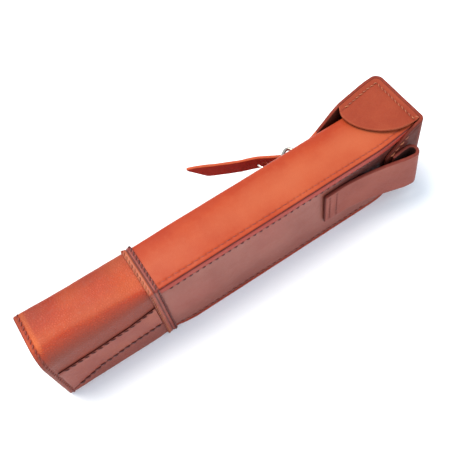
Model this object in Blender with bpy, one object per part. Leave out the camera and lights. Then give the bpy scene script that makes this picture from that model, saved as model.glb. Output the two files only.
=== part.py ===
"""Hand-stitched leather carrying case for a slim telescope or sight.

The case lies on its narrow bottom face.  +X runs along the case to its mouth and lid,
+Y points to the front wall with the buckle, and +Z is up.  The origin is on the underside
of the joint band, where the straight box section meets the rounded toe tube.
All dimensions below are in millimetres; MM turns them into metres.
"""
import math

import bmesh
import bpy
from mathutils import Vector

MM = 0.001
GAP = 0.3                      # clearance between touching pieces

# Leather
LEATHER = 3.0                  # body leather
STRAP_LEATHER = 2.8            # lid strip, closing strap and belt loop
CHAPE_LEATHER = 2.0
GUSSET_LEATHER = 1.6
SEAM_LEATHER = 1.0
THREAD_R = 0.35                # radius of a laid thread row
THREAD_PROUD = GAP + THREAD_R  # centre of a row above the leather it lies on

# Body
MOUTH_X = 235.0
TOE_X = -92.0
HALF_W = 21.2                  # half the outer width
TOP_Z = 75.5
FOLD_R = 5.0                   # rounded fold along the top front corner
FOOT_R = 5.0                   # bottom front corner
TOE_BACK_R = 15.0              # top back corner at the toe
TOE_FRONT_R = 4.0              # top front corner at the toe
TOE_FLARE = 1.6                # the front wall spreads by this much at the open toe
TOE_FOOT_R = 4.0
TOE_START_R = 7.0              # top back corner of the toe tube beside the band
TOE_WIDENING = 0.55            # below 1 that corner widens quickly away from the band
BAND_HALF = 4.2                # half the joint band's width
BAND_LEATHER = 1.1
BAND_PINCH = GAP + BAND_LEATHER
WALL_SAG = 3.0                 # the back wall leans in by this much at the mouth
SAG_START = 195.0
LID_LIFT_START, LID_LIFT_END = 168.0, 190.0
LID_LIFT = 2.3                 # the body's underside clears the lid's lower gusset by this much

# Toe
DISC_DEPTH = 8.0
DISC_LEATHER = 2.5
TOE_ROW_X = TOE_X + 3.5
SEAM_END_X = TOE_X + 5.5
SEAM_ROW_INSET = 1.5
SEAM_X = (-28.0, -58.0)        # bends of the seam strip between the band and the toe
SEAM_TOP = (54.0, 49.5, 48.0, 47.5)    # height of its upper edge at the band, the bends and the toe
SEAM_LOW = (23.5, 22.5, 19.5, 9.0)

# Lid
LID_TOP_Z = 80.2
STRIP_MID_Z = LID_TOP_Z / 2
LID_END_X = 241.5
LID_BACK_Y = -21.5
HINGE_X = 236.0
LID_CORNER_R = 6.0
GUSSET_TOP_Z = 79.5
GUSSET_LOW_Z = 0.35
GUSSET_ROW_INSET = 4.5
FLAP_START_X = 205.0
FLAP_END_HALF = 18.0           # half height of the sewn tail at its narrow end
FLAP_CLEAR = 1.2               # and how much it stays below the lid's edge at the fold
FLAP_ROW_INSET = 3.0
TAPER_START_X, TAPER_END_X = 154.0, 202.0

# Closing strap and buckle
STRAP_W = 14.5
STRAP_Z = 40.0
STRAP_JOINT = (157.0, 32.2)
STRAP_HOLES = (8.0, 16.5, 25.0)    # distances of the prong holes from the strap's root
HOLE_R = 1.3
POINT_START_X, POINT_LENGTH = 92.0, 14.0
POINT_BLUNT = 3.0                  # height left at the strap's very tip
HEEL = (138.0, 25.4)               # heel bar of the buckle
BAR_X, BAR_Y = 156.5, 27.2         # far bar of the buckle
FRAME_HALF = 10.4
WIRE_R = 1.4
PRONG_R = 0.8
PRONG_TIP = (129.2, 43.8)
ROLLER_IN, ROLLER_OUT, ROLLER_LEN = 1.65, 2.1, 15.0
CHAPE_W = 15.0
CHAPE_END_X = 106.0
SLOT_HALF = 1.9                    # half the prong slot in the chape

# Belt loop
LOOP_Z = (23.0, 60.0)
LOOP_SEWN_X = 146.5
LOOP_TURN = (225.3, -28.35)
LOOP_TURN_R = 4.65
LOOP_RETURN_X = 210.0


# ---------------------------------------------------------------- curves and meshes

def ease(low, high, value):
    """Smooth step from 0 at low to 1 at high."""
    t = min(max((value - low) / (high - low), 0.0), 1.0)
    return t * t * (3 - 2 * t)


def back_y(x):
    """Outer face of the back wall, which leans in towards the mouth."""
    return -HALF_W + WALL_SAG * ease(SAG_START, MOUTH_X, x)


def foot_z(x):
    """Underside of the body: flat on the table, lifted over the band and the lid's gusset."""
    band = 1 - ease(BAND_HALF + 1, BAND_HALF + 9, abs(x))
    return max(BAND_PINCH * band, LID_LIFT * ease(LID_LIFT_START, LID_LIFT_END, x))


def arc(centre, radius, start, stop, segments):
    """Points of a circular arc, angles in degrees."""
    points = []
    for i in range(segments + 1):
        angle = math.radians(start + (stop - start) * i / segments)
        points.append((centre[0] + radius * math.cos(angle), centre[1] + radius * math.sin(angle)))
    return points


def spline(points, step):
    """Catmull-Rom curve through the points, sampled about every step."""
    lead = tuple(2 * a - b for a, b in zip(points[0], points[1]))
    tail = tuple(2 * a - b for a, b in zip(points[-1], points[-2]))
    pts = [Vector(p) for p in [lead, *points, tail]]
    curve = []
    for i in range(1, len(pts) - 2):
        p0, p1, p2, p3 = pts[i - 1:i + 3]
        count = max(1, round((p2 - p1).length / step))
        for k in range(count):
            t = k / count
            curve.append(0.5 * (2 * p1 + (p2 - p0) * t + (2 * p0 - 5 * p1 + 4 * p2 - p3) * t * t
                                + (3 * p1 - p0 - 3 * p2 + p3) * t ** 3))
    curve.append(pts[-2])
    return [tuple(p) for p in curve]


def normals(path):
    """Left-hand unit normals of a plane path."""
    result = []
    for i in range(len(path)):
        a, b = path[max(i - 1, 0)], path[min(i + 1, len(path) - 1)]
        dx, dy = b[0] - a[0], b[1] - a[1]
        length = math.hypot(dx, dy)
        result.append((-dy / length, dx / length))
    return result


def offset_path(path, distance):
    """The path moved sideways to its left."""
    return [(p[0] + distance * n[0], p[1] + distance * n[1]) for p, n in zip(path, normals(path))]


def outline(y0, y1, z0, z1, radii, grow=0.0):
    """Closed (y, z) outline with rounded corners: top back, top front, bottom front, bottom back."""
    y0, y1, z0, z1 = y0 - grow, y1 + grow, z0 - grow, z1 + grow
    corners = ((y0, z1, 1, -1, 180), (y1, z1, -1, -1, 90), (y1, z0, -1, 1, 0), (y0, z0, 1, 1, -90))
    points = []
    for (y, z, sy, sz, start), radius in zip(corners, radii):
        r = max(radius + grow, 0.1)
        points += arc((y + sy * r, z + sz * r), r, start, start - 90, 6)
    return points


def material(name, colour, roughness, metallic=0.0):
    """A plain Principled material."""
    mat = bpy.data.materials.new(name)
    mat.use_nodes = True
    shader = mat.node_tree.nodes["Principled BSDF"]
    shader.inputs["Base Color"].default_value = (*colour, 1.0)
    shader.inputs["Roughness"].default_value = roughness
    shader.inputs["Metallic"].default_value = metallic
    return mat


def make_object(name, verts, faces, mat, pivot=(0, 0, 0), smooth_angle=None):
    """Object from millimetre points, with its origin at pivot and its faces pointing out."""
    mesh = bpy.data.meshes.new(name)
    shift = Vector(pivot)
    mesh.from_pydata([(Vector(v) - shift) * MM for v in verts], [], faces)
    bm = bmesh.new()
    bm.from_mesh(mesh)
    bmesh.ops.recalc_face_normals(bm, faces=bm.faces)
    bm.to_mesh(mesh)
    bm.free()
    if smooth_angle:
        mesh.shade_smooth()
        mesh.set_sharp_from_angle(angle=math.radians(smooth_angle))
    mesh.materials.append(mat)
    obj = bpy.data.objects.new(name, mesh)
    obj.location = shift * MM
    bpy.context.collection.objects.link(obj)
    return obj


def loft(rings, closed=False):
    """Vertices and faces of a skin over equal rings, capped unless the loft is closed."""
    count = len(rings[0])
    verts = [p for ring in rings for p in ring]
    faces = []
    for i in range(len(rings) if closed else len(rings) - 1):
        a, b = i * count, (i + 1) % len(rings) * count
        faces += [(a + k, a + (k + 1) % count, b + (k + 1) % count, b + k) for k in range(count)]
    if not closed:
        last = (len(rings) - 1) * count
        faces += [tuple(range(count)), tuple(range(last, last + count))]
    return verts, faces


def sleeve(outer, inner):
    """Vertices and faces of a tube wall between two lofts with equal rings."""
    return loft(list(outer) + list(reversed(inner)), closed=True)


def strip(name, path, heights, thickness, mat, pivot=(0, 0, 0)):
    """A leather strip standing on edge: its centre line in plan, and (low, high) at each point."""
    left = offset_path(path, thickness / 2)
    right = offset_path(path, -thickness / 2)
    rings = []
    for a, b, (low, high) in zip(left, right, heights):
        rings.append([(*a, low), (*a, high), (*b, high), (*b, low)])
    return make_object(name, *loft(rings), mat, pivot, smooth_angle=40)


def wire(name, points, radius, mat, sides=6, closed=False, pivot=(0, 0, 0)):
    """A round wire or laid thread along a line of points."""
    pts = [Vector(p) for p in points]
    count = len(pts)
    rings = []
    across = last = None
    for i in range(count):
        before = pts[i - 1] if (i or closed) else pts[0]
        after = pts[(i + 1) % count] if (i < count - 1 or closed) else pts[-1]
        along = (after - before).normalized()
        if across is None:
            across = Vector((0, 0, 1)) if abs(along.z) < 0.9 else Vector((0, 1, 0))
        else:
            across.rotate(last.rotation_difference(along))
        across = (across - along * across.dot(along)).normalized()
        other = along.cross(across)
        last = along
        rings.append([pts[i] + radius * (math.cos(a) * across + math.sin(a) * other)
                      for a in (2 * math.pi * k / sides for k in range(sides))])
    return make_object(name, *loft(rings, closed), mat, pivot, smooth_angle=50)


def plate(name, points, low, high, mat, pivot=(0, 0, 0)):
    """A flat plate of the given plan outline."""
    rings = [[(x, y, low) for x, y in points], [(x, y, high) for x, y in points]]
    return make_object(name, *loft(rings), mat, pivot)


# ---------------------------------------------------------------- sections of the body

def box_radii():
    return (0.5, FOLD_R, FOOT_R, 0.5)


def toe_section(x, grow=0.0):
    """Outline of the toe tube: the box's corners near the band, rounder towards the toe."""
    t = min(max((x + BAND_HALF) / (TOE_X + BAND_HALF), 0.0), 1.0)
    radii = [TOE_START_R + (TOE_BACK_R - TOE_START_R) * t ** TOE_WIDENING]
    radii += [a + (b - a) * t for a, b in ((FOLD_R, TOE_FRONT_R), (FOOT_R, FOOT_R), (1.0, TOE_FOOT_R))]
    front = HALF_W + TOE_FLARE * t * t
    return [(x, y, z) for y, z in outline(-HALF_W, front, foot_z(x), TOP_Z, radii, grow)]


def band_section(x, grow):
    return [(x, y, z) for y, z in outline(-HALF_W, HALF_W, BAND_PINCH, TOP_Z, box_radii(), grow)]


def over_the_top(ring, clear=1.2):
    """The part of a closed outline that stands clear of the table, as an open line."""
    start = min(range(len(ring)), key=lambda i: (ring[i][2], ring[i][1]))
    turned = ring[start:] + ring[:start]
    kept = [p for p in turned if p[2] > clear]
    ends = [(p[0], p[1], clear) for p in (kept[0], kept[-1])]
    return [ends[0], *kept, ends[1]]


# ---------------------------------------------------------------- body

def make_body(leather, shade, dark, thread):
    stations = [GAP, 6, 10, 14, 90, 168, 174, 179, 184, 190, SAG_START, 203, 211, 219, 227, MOUTH_X]
    rings = []
    panel = []
    for x in stations:
        yb, zb = back_y(x), foot_z(x)
        outer = outline(yb, HALF_W, zb, TOP_Z, box_radii())[6:-6]
        inner = outline(yb, HALF_W, zb, TOP_Z, box_radii(), -LEATHER)[7:-7]
        outer = [(yb, TOP_Z)] + outer[1:-1] + [(yb, zb)]
        inner = [(yb, TOP_Z - LEATHER)] + inner + [(yb, zb + LEATHER)]
        rings.append([(x, y, z) for y, z in outer + inner[::-1]])
        low, high = zb + LEATHER + GAP, TOP_Z - LEATHER - GAP
        panel.append([(x, yb, low), (x, yb, high), (x, yb + LEATHER, high), (x, yb + LEATHER, low)])
    make_object("body_wrap", *loft(rings), leather, smooth_angle=30)
    make_object("back_panel", *loft(panel), shade, smooth_angle=30)

    toe_x = [TOE_X, -74, -56, -40, -25, -14, -10, -6, -GAP]
    make_object("toe_tube", *sleeve([toe_section(x) for x in toe_x],
                                    [toe_section(x, -LEATHER) for x in toe_x]), leather, smooth_angle=30)
    wall = -LEATHER - GAP
    disc = [toe_section(TOE_X + DISC_DEPTH, wall - DISC_LEATHER), toe_section(TOE_X, wall - DISC_LEATHER),
            toe_section(TOE_X, wall), toe_section(TOE_X + DISC_DEPTH + DISC_LEATHER, wall)]
    make_object("toe_end_disc", *loft(disc), dark, smooth_angle=30)

    band_x = (-BAND_HALF, BAND_HALF)
    make_object("joint_band", *sleeve([band_section(x, BAND_PINCH) for x in band_x],
                                      [band_section(x, GAP) for x in band_x]), leather, smooth_angle=30)

    seam_y = -HALF_W - GAP
    seam_x = [-BAND_HALF - GAP, *SEAM_X, SEAM_END_X]
    seam = []
    for x, high, low in zip(seam_x, SEAM_TOP, SEAM_LOW):
        seam.append([(x, seam_y, low), (x, seam_y, high), (x, seam_y - SEAM_LEATHER, high),
                     (x, seam_y - SEAM_LEATHER, low)])
    make_object("toe_seam_strip", *loft(seam), shade)

    row_y = seam_y - SEAM_LEATHER - THREAD_PROUD
    row_x = [seam_x[0] - 1, *SEAM_X, SEAM_END_X + 1]
    for name, edge, inset in (("thread_toe_seam_upper", SEAM_TOP, -SEAM_ROW_INSET),
                              ("thread_toe_seam_lower", SEAM_LOW, SEAM_ROW_INSET)):
        wire(name, [(x, row_y, z + inset) for x, z in zip(row_x, edge)], THREAD_R, thread)
    wire("thread_toe_rim", over_the_top(toe_section(TOE_ROW_X, THREAD_PROUD)), THREAD_R, thread)
    for name, x in (("thread_band_toe_side", -3.0), ("thread_band_box_side", 3.0)):
        wire(name, over_the_top(band_section(x, BAND_PINCH + THREAD_PROUD)), THREAD_R, thread)

    top_row = [(x, back_y(x) + 3.5, TOP_Z + THREAD_PROUD) for x in (7, SAG_START, 203, 211, 219, 227, 233)]
    wire("thread_top_edge", top_row, THREAD_R, thread)
    side_x = (7, 90, SAG_START)
    wire("thread_side_upper", [(x, back_y(x) - THREAD_PROUD, TOP_Z - 8) for x in side_x], THREAD_R, thread)
    wire("thread_side_lower", [(x, back_y(x) - THREAD_PROUD, foot_z(x) + 5)
                               for x in (7, 14, 90, 168, 179, 190)], THREAD_R, thread)


# ---------------------------------------------------------------- lid

def flap_heights(x):
    """Edges of the lid strip's sewn tail, which narrows to the belt loop."""
    t = min(max((x - FLAP_START_X) / (HINGE_X - FLAP_START_X), 0), 1)
    half = FLAP_END_HALF + (STRIP_MID_Z - FLAP_CLEAR - FLAP_END_HALF) * t ** 0.85
    return STRIP_MID_Z - half, STRIP_MID_Z + half


def taper_heights(x):
    """Edges of the lid's front, which narrows from the full height to the strap."""
    t = ease(TAPER_START_X, TAPER_END_X, x)
    half = STRAP_W / 2 + (STRIP_MID_Z - STRAP_W / 2) * t ** 0.8
    mid = STRAP_Z + (STRIP_MID_Z - STRAP_Z) * t
    return mid - half, mid + half


def lid_path():
    """Centre line of the lid strip from the hinge round the end to the strap's root."""
    half = STRAP_LEATHER / 2
    end_x = LID_END_X - half
    back = LID_BACK_Y + half
    path = [(HINGE_X + 0.25, back)]
    path += arc((end_x - 2.2, back + 2.2), 2.2, -90, 0, 4)
    path += [(end_x, y) for y in (-13.0, 0.0, 14.0)]
    path += arc((end_x - LID_CORNER_R, 28.2), LID_CORNER_R, 0, 78, 6)
    front = [path[-1], (224.0, 33.2), (208.0, 30.6), (195.0, 28.4), (183.0, 27.4), (172.0, 27.9),
             (164.0, 29.6), (STRAP_JOINT[0] + 1.8, STRAP_JOINT[1] - 0.65)]
    return path[:-1] + spline(front, 5.0)


def gusset_outline():
    """Plan of a fan-shaped gusset: inside the strip on two sides, a free curve on the third."""
    clear = STRAP_LEATHER / 2 + GAP
    edge = [p for p in offset_path(lid_path(), clear) if p[0] > 196.0 and p[1] > -17.5]
    edge = [(LID_END_X - STRAP_LEATHER - GAP, -17.9)] + edge
    free = spline([(196.2, 24.6), (193.4, 19.0), (194.6, 9.0), (199.5, -0.5), (207.0, -8.8), (216.5, -14.8),
                   (226.0, -17.6), (235.0, -18.0)], 6.0)
    return edge + free


def make_lid(leather, shade, matte, thread):
    hinge = (HINGE_X, LID_BACK_Y, STRIP_MID_Z)
    flap_x = [FLAP_START_X, 211, 217, 223, 229, HINGE_X - 0.25]
    flap_y = [back_y(x) - GAP - STRAP_LEATHER / 2 for x in flap_x]
    strip("lid_hinge_flap", list(zip(flap_x, flap_y)), [flap_heights(x) for x in flap_x],
          STRAP_LEATHER, shade)
    rows = {"thread_flap_upper": 1, "thread_flap_lower": 0}
    for name, side in rows.items():
        line = []
        for x, y in list(zip(flap_x, flap_y))[1:-1]:
            z = flap_heights(x)[side] + (-FLAP_ROW_INSET if side else FLAP_ROW_INSET)
            line.append((x, y - STRAP_LEATHER / 2 - THREAD_PROUD, z))
        wire(name, line, THREAD_R, thread)

    path = lid_path()
    heights = [(0.0, LID_TOP_Z) if p[0] > TAPER_END_X or p[1] < 0 else taper_heights(p[0]) for p in path]
    strip("lid_strip", path, heights, STRAP_LEATHER, leather, hinge)

    points = gusset_outline()
    plate("lid_gusset_top", points, GUSSET_TOP_Z - GUSSET_LEATHER, GUSSET_TOP_Z, matte, hinge)
    plate("lid_gusset_bottom", points, GUSSET_LOW_Z, GUSSET_LOW_Z + GUSSET_LEATHER, matte, hinge)

    inner = offset_path(path, STRAP_LEATHER / 2 + GUSSET_ROW_INSET - 1.5)
    row = [(x, y, GUSSET_TOP_Z + THREAD_PROUD) for x, y in inner if x > 199 and y > -14]
    wire("thread_gusset_top", row, THREAD_R, thread, pivot=hinge)
    outer = offset_path(path, -STRAP_LEATHER / 2 - THREAD_PROUD)
    row = [(x, y, 4.0) for x, y in outer if x > 203 and y > -14]
    wire("thread_gusset_bottom", row, THREAD_R, thread, pivot=hinge)


def strap_path():
    """Centre line of the closing strap, which stands off the wall towards its tip."""
    line = [STRAP_JOINT, (147.4, 35.4), (139.0, 40.4), (131.0, 45.6), (123.0, 49.2), (115.5, 52.3),
            (98.0, 61.4), (90.3, 65.9), (78.0, 72.4)]
    return spline(line, 4.0)


def strap_heights(path):
    """Edges of the strap: straight, then cut up to a point near the top edge."""
    heights = []
    for x, _ in path:
        t = min(max((POINT_START_X - x) / POINT_LENGTH, 0.0), 1.0)
        low = STRAP_Z - STRAP_W / 2 + (STRAP_W - POINT_BLUNT) * t
        heights.append((low, STRAP_Z + STRAP_W / 2 - t * t))
    return heights


def make_strap(flesh):
    pivot = (*STRAP_JOINT, STRAP_Z)
    path = strap_path()
    dx, dy = path[1][0] - path[0][0], path[1][1] - path[0][1]
    base = math.degrees(math.atan2(dy, dx))
    half = STRAP_LEATHER / 2
    left, right = offset_path(path, half), offset_path(path, -half)
    nose = arc(STRAP_JOINT, half, base + 270, base + 90, 6)
    plan = nose[1:-1] + left + right[::-1]
    heights = strap_heights(path)
    spans = [heights[0]] * 5 + heights + heights[::-1]
    rings = [[(*p, span[side]) for p, span in zip(plan, spans)] for side in (0, 1)]
    strap = make_object("closure_strap", *loft(rings), flesh, pivot)
    run = 0.0
    holes = list(STRAP_HOLES)
    for a, b in zip(path, path[1:]):
        length = math.dist(a, b)
        while holes and run + length >= holes[0]:
            t = (holes.pop(0) - run) / length
            spot = Vector((a[0] + (b[0] - a[0]) * t, a[1] + (b[1] - a[1]) * t, STRAP_Z))
            across = Vector((-(b[1] - a[1]), b[0] - a[0], 0)) / length
            cutter = wire("cutter", [spot - 4 * across, spot + 4 * across], HOLE_R, flesh, sides=10)
            cutter.hide_render = True
            cutter.display_type = "WIRE"
            cut = strap.modifiers.new("prong hole", "BOOLEAN")
            cut.operation = "DIFFERENCE"
            cut.solver = "EXACT"
            cut.object = cutter
        run += length


# ---------------------------------------------------------------- belt loop

def make_belt_loop(shade, thread):
    line = [(LOOP_SEWN_X, -HALF_W - GAP - STRAP_LEATHER / 2), (156.0, -22.9), (164.0, -22.95), (172.0, -23.4),
            (184.4, -24.9), (198.6, -27.5), (210.8, -30.3), (218.2, -32.1)]
    turn = arc(LOOP_TURN, LOOP_TURN_R, -100, 84, 8)
    settle = GAP + STRAP_LEATHER + GAP + STRAP_LEATHER / 2
    back = [(x, back_y(x) - settle) for x in (220.0, 215.0, LOOP_RETURN_X)]
    path = spline(line + [turn[0]], 7.0)[:-1] + turn + back
    strip("belt_loop", path, [LOOP_Z] * len(path), STRAP_LEATHER, shade)
    row_y = -HALF_W - GAP - STRAP_LEATHER - THREAD_PROUD
    for name, x in (("thread_loop_end", LOOP_SEWN_X + 4.0), ("thread_loop_inner", LOOP_SEWN_X + 10.5)):
        wire(name, [(x, row_y, LOOP_Z[0] + 2), (x, row_y, LOOP_Z[1] - 2)], THREAD_R, thread)


# ---------------------------------------------------------------- buckle

def make_buckle(leather, steel, dark_steel, thread):
    heel = (*HEEL, STRAP_Z)
    bow = [(142.6, 29.6), (148.2, 34.4), (152.4, 36.3), (155.4, 34.4), (156.4, 31.0)]
    side = spline([HEEL, *bow, (BAR_X, BAR_Y)], 1.6)
    corner = 1.6
    loop = []
    for sign in (-1, 1):
        points = side if sign < 0 else side[::-1]
        for i, (x, y) in enumerate(points):
            at_end = i in (0, len(points) - 1)
            loop.append((x, y, STRAP_Z + sign * (FRAME_HALF - (corner if at_end else 0.0))))
    wire("buckle_frame", loop, WIRE_R, steel, sides=8, closed=True, pivot=heel)

    bar = (BAR_X, BAR_Y, STRAP_Z)
    rollers = []
    for radius in (ROLLER_OUT, ROLLER_IN):
        rollers.append([[(x, y, z) for x, y in arc(bar[:2], radius, 0, 345, 23)]
                        for z in (STRAP_Z - ROLLER_LEN / 2, STRAP_Z + ROLLER_LEN / 2)])
    make_object("buckle_roller", *sleeve(*rollers), steel, bar, smooth_angle=40)

    eye_r = WIRE_R + 0.25 + PRONG_R
    reach = Vector(PRONG_TIP) - Vector(HEEL)
    lean = math.degrees(math.atan2(reach.y, reach.x))
    tangent = lean + math.degrees(math.acos(eye_r / reach.length))
    eye = arc(HEEL, eye_r, tangent - 265, tangent, 14)
    shank = [tuple(Vector(eye[-1]).lerp(Vector(PRONG_TIP), t)) for t in (0.3, 0.6, 0.85, 1.0)]
    wire("buckle_prong", [(*p, STRAP_Z) for p in eye + shank], PRONG_R, dark_steel, sides=6, pivot=heel)

    low = HALF_W + GAP + CHAPE_LEATHER / 2
    fold_r = HEEL[1] - low
    high = low + CHAPE_LEATHER + GAP + 0.1
    line = [(CHAPE_END_X, low), (120.0, low), (132.0, low)]
    line += arc(HEEL, fold_r, -90, 90, 10)
    line += spline([(134.5, HEEL[1] + fold_r - 0.5), (130.0, high + 0.9), (126.0, high), (117.0, high),
                    (CHAPE_END_X + 2, high)], 5.0)
    span = (STRAP_Z - CHAPE_W / 2, STRAP_Z + CHAPE_W / 2)
    chape = strip("buckle_chape", line, [span] * len(line), CHAPE_LEATHER, leather)
    x0, x1, y0, y1 = HEEL[0] - 7, HEEL[0] + 6, HALF_W, HEEL[1] + 8
    cutter = plate("cutter", [(x0, y0), (x1, y0), (x1, y1), (x0, y1)],
                   STRAP_Z - SLOT_HALF, STRAP_Z + SLOT_HALF, leather)
    cutter.hide_render = True
    cutter.display_type = "WIRE"
    cut = chape.modifiers.new("prong slot", "BOOLEAN")
    cut.operation = "DIFFERENCE"
    cut.solver = "EXACT"
    cut.object = cutter

    row_y = high + CHAPE_LEATHER / 2 + THREAD_PROUD
    z0, z1 = span[0] + 2.2, span[1] - 2.2
    box = [(CHAPE_END_X + 4, row_y, z0), (123.0, row_y, z0), (123.0, row_y, z1), (CHAPE_END_X + 4, row_y, z1)]
    wire("thread_chape", box, THREAD_R, thread, closed=True)


def main():
    for obj in list(bpy.data.objects):
        bpy.data.objects.remove(obj, do_unlink=True)
    leather = material("orange_tan_leather", (0.62, 0.13, 0.06), 0.42)
    shade = material("red_brown_leather", (0.40, 0.10, 0.07), 0.45)
    matte = material("gusset_leather", (0.50, 0.12, 0.06), 0.6)
    flesh = material("strap_leather", (0.38, 0.06, 0.03), 0.7)
    dark = material("toe_disc_leather", (0.35, 0.08, 0.05), 0.55)
    thread = material("waxed_thread", (0.16, 0.03, 0.02), 0.6)
    steel = material("nickel_plate", (0.78, 0.76, 0.72), 0.2, 1.0)
    dark_steel = material("nickel_wire", (0.6, 0.58, 0.55), 0.25, 1.0)
    make_body(leather, shade, dark, thread)
    make_lid(leather, shade, matte, thread)
    make_strap(flesh)
    make_belt_loop(shade, thread)
    make_buckle(leather, steel, dark_steel, thread)


main()
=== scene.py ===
"""Looks of the stitched leather optics case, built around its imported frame.

The script works in the frame's axes: +X along the case to its mouth, +Y to the front wall
with the buckle, +Z up.  Shapes are laid out in millimetres and written to meshes in metres.
"""
import math

import bmesh
import bpy
import numpy as np
from mathutils import Matrix, Vector, noise


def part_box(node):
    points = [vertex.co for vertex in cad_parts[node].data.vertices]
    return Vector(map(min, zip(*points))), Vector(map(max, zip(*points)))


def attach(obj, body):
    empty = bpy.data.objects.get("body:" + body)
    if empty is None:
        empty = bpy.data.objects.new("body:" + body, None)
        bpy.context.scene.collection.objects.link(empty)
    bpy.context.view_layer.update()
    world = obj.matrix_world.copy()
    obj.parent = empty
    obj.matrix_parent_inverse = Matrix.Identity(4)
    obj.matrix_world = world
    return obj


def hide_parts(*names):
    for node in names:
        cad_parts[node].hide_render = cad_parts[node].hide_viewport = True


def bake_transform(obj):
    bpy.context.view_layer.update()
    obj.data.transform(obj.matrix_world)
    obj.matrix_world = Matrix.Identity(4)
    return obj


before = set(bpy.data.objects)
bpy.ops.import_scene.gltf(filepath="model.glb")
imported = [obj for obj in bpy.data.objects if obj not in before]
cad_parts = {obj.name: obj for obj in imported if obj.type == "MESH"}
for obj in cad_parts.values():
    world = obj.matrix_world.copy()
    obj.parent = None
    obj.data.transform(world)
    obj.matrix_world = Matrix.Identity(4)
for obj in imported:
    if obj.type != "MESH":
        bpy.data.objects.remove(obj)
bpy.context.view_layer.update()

MM = 0.001


def node_box(node):
    """Lowest and highest corner of a CAD node, in millimetres."""
    low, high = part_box(node)
    return low / MM, high / MM


# ---------------------------------------------------------------- sizes, from the frame

WRAP_HIGH = node_box("body_wrap")[1]
TOE_LOW = node_box("toe_tube")[0]
BAND_HIGH = node_box("joint_band")[1]
LID_HIGH = node_box("lid_strip")[1]
GUSSET_HIGH = node_box("lid_gusset_top")[1]
FOOT_LOW = node_box("lid_gusset_bottom")[0]
FLAP_LOW = node_box("lid_hinge_flap")[0]
LOOP_LOW, LOOP_HIGH = node_box("belt_loop")
FRAME_LOW, FRAME_HIGH = node_box("buckle_frame")
CHAPE_LOW, CHAPE_HIGH = node_box("buckle_chape")
DISC_LOW, DISC_HIGH = node_box("toe_end_disc")

GAP = 0.3
LEATHER = 3.0
STRAP_LEATHER = 2.8
THIN_LEATHER = 1.6
SEAM_LEATHER = 1.0
CHAPE_LEATHER = 2.0
BAND_LEATHER = 1.1

HALF_W = WRAP_HIGH.y
TOP_Z = WRAP_HIGH.z
MOUTH_X = WRAP_HIGH.x
TOE_X = TOE_LOW.x
FOLD_R, FOOT_R = 5.0, 5.0
TOE_BACK_R, TOE_FRONT_R, TOE_FOOT_R, TOE_START_R, TOE_FLARE = 15.0, 4.0, 4.0, 7.0, 1.6
TOE_WIDENING = 0.55                # power at which the back radius widens from the band to the toe
BAND_HALF = BAND_HIGH.x
BAND_PINCH = BAND_HIGH.z - TOP_Z
WALL_SAG, SAG_START = 3.0, 195.0
LID_LIFT_START, LID_LIFT_END, LID_LIFT = 168.0, 190.0, 2.3
FOOT_FLARE = 1.7                   # the back wall's bottom edge spreads by this much

LID_TOP = LID_HIGH.z
LID_END_X = LID_HIGH.x
LID_BACK_Y = -21.5
HINGE = (236.0, LID_BACK_Y)
LID_CORNER_R = 6.0
FLAP_START_X = FLAP_LOW.x
FLAP_END_HALF, FLAP_CLEAR = 18.0, 1.2
TAPER_START_X, TAPER_END_X = 154.0, 202.0
LID_CUT_X = 176.0                  # where the lid's leather is taken over by the strap's piece

STRAP_W, STRAP_Z = 14.5, 40.0
STRAP_ROOT = (157.0, 32.2)
HEEL, BAR = (138.0, 25.4), (156.5, 27.2)
PRONG_TIP = (129.2, 43.8)
WIRE_R, PRONG_R = 1.4, 0.8
FRAME_HALF = (FRAME_HIGH.z - FRAME_LOW.z) / 2 - WIRE_R

PITCH = 5.5                        # stitch pitch of the long seams
FINE_PITCH = 4.0                   # of the lid, the belt loop and the chape
THREAD_R = 0.42
THREAD_SINK = 0.25                 # how far a row of stitches lies in the leather


# ---------------------------------------------------------------- curves

def ease(low, high, value):
    """Smooth step from 0 at low to 1 at high."""
    t = np.clip((np.asarray(value, float) - low) / (high - low), 0, 1)
    return t * t * (3 - 2 * t)


def back_y(x):
    """Outer face of the back wall, which leans in towards the mouth."""
    return -HALF_W + WALL_SAG * ease(SAG_START, MOUTH_X, x)


def foot_z(x, y=-HALF_W):
    """Underside of the body: flat, and lifted over the band and, inside the back edge, the lid's gusset."""
    band = 1 - ease(BAND_HALF + 1, BAND_HALF + 9, abs(x))
    lid = np.maximum(ease(LID_LIFT_START, LID_LIFT_END, x) * ease(-22, -16, y), ease(204, 224, x))
    return np.maximum(BAND_PINCH * band, LID_LIFT * lid)


def foot_spread(x, z):
    """How far the back wall stands out at its bottom edge."""
    return FOOT_FLARE * (1 - ease(0, 18, z)) * ease(BAND_HALF, 24, x) * (1 - ease(200, 230, x))


def arc(centre, radius, start, stop, segments):
    """Points of a circular arc, angles in degrees."""
    angles = np.radians(np.linspace(start, stop, segments + 1))
    return [(centre[0] + radius * math.cos(a), centre[1] + radius * math.sin(a)) for a in angles]


def spline(points, step):
    """Catmull-Rom curve through the points, sampled about every step."""
    pts = np.array(points, float)
    pts = np.vstack([2 * pts[0] - pts[1], pts, 2 * pts[-1] - pts[-2]])
    curve = []
    for p0, p1, p2, p3 in zip(pts, pts[1:], pts[2:], pts[3:]):
        count = max(1, round(float(np.linalg.norm(p2 - p1)) / step))
        for t in np.arange(count) / count:
            curve.append(0.5 * (2 * p1 + (p2 - p0) * t + (2 * p0 - 5 * p1 + 4 * p2 - p3) * t ** 2
                                + (3 * p1 - p0 - 3 * p2 + p3) * t ** 3))
    curve.append(pts[-2])
    return [tuple(p) for p in curve]


def lengths(path):
    """Distance run along a polyline at each of its points."""
    steps = np.linalg.norm(np.diff(np.array(path, float), axis=0), axis=1)
    return np.concatenate([[0.0], np.cumsum(steps)])


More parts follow.
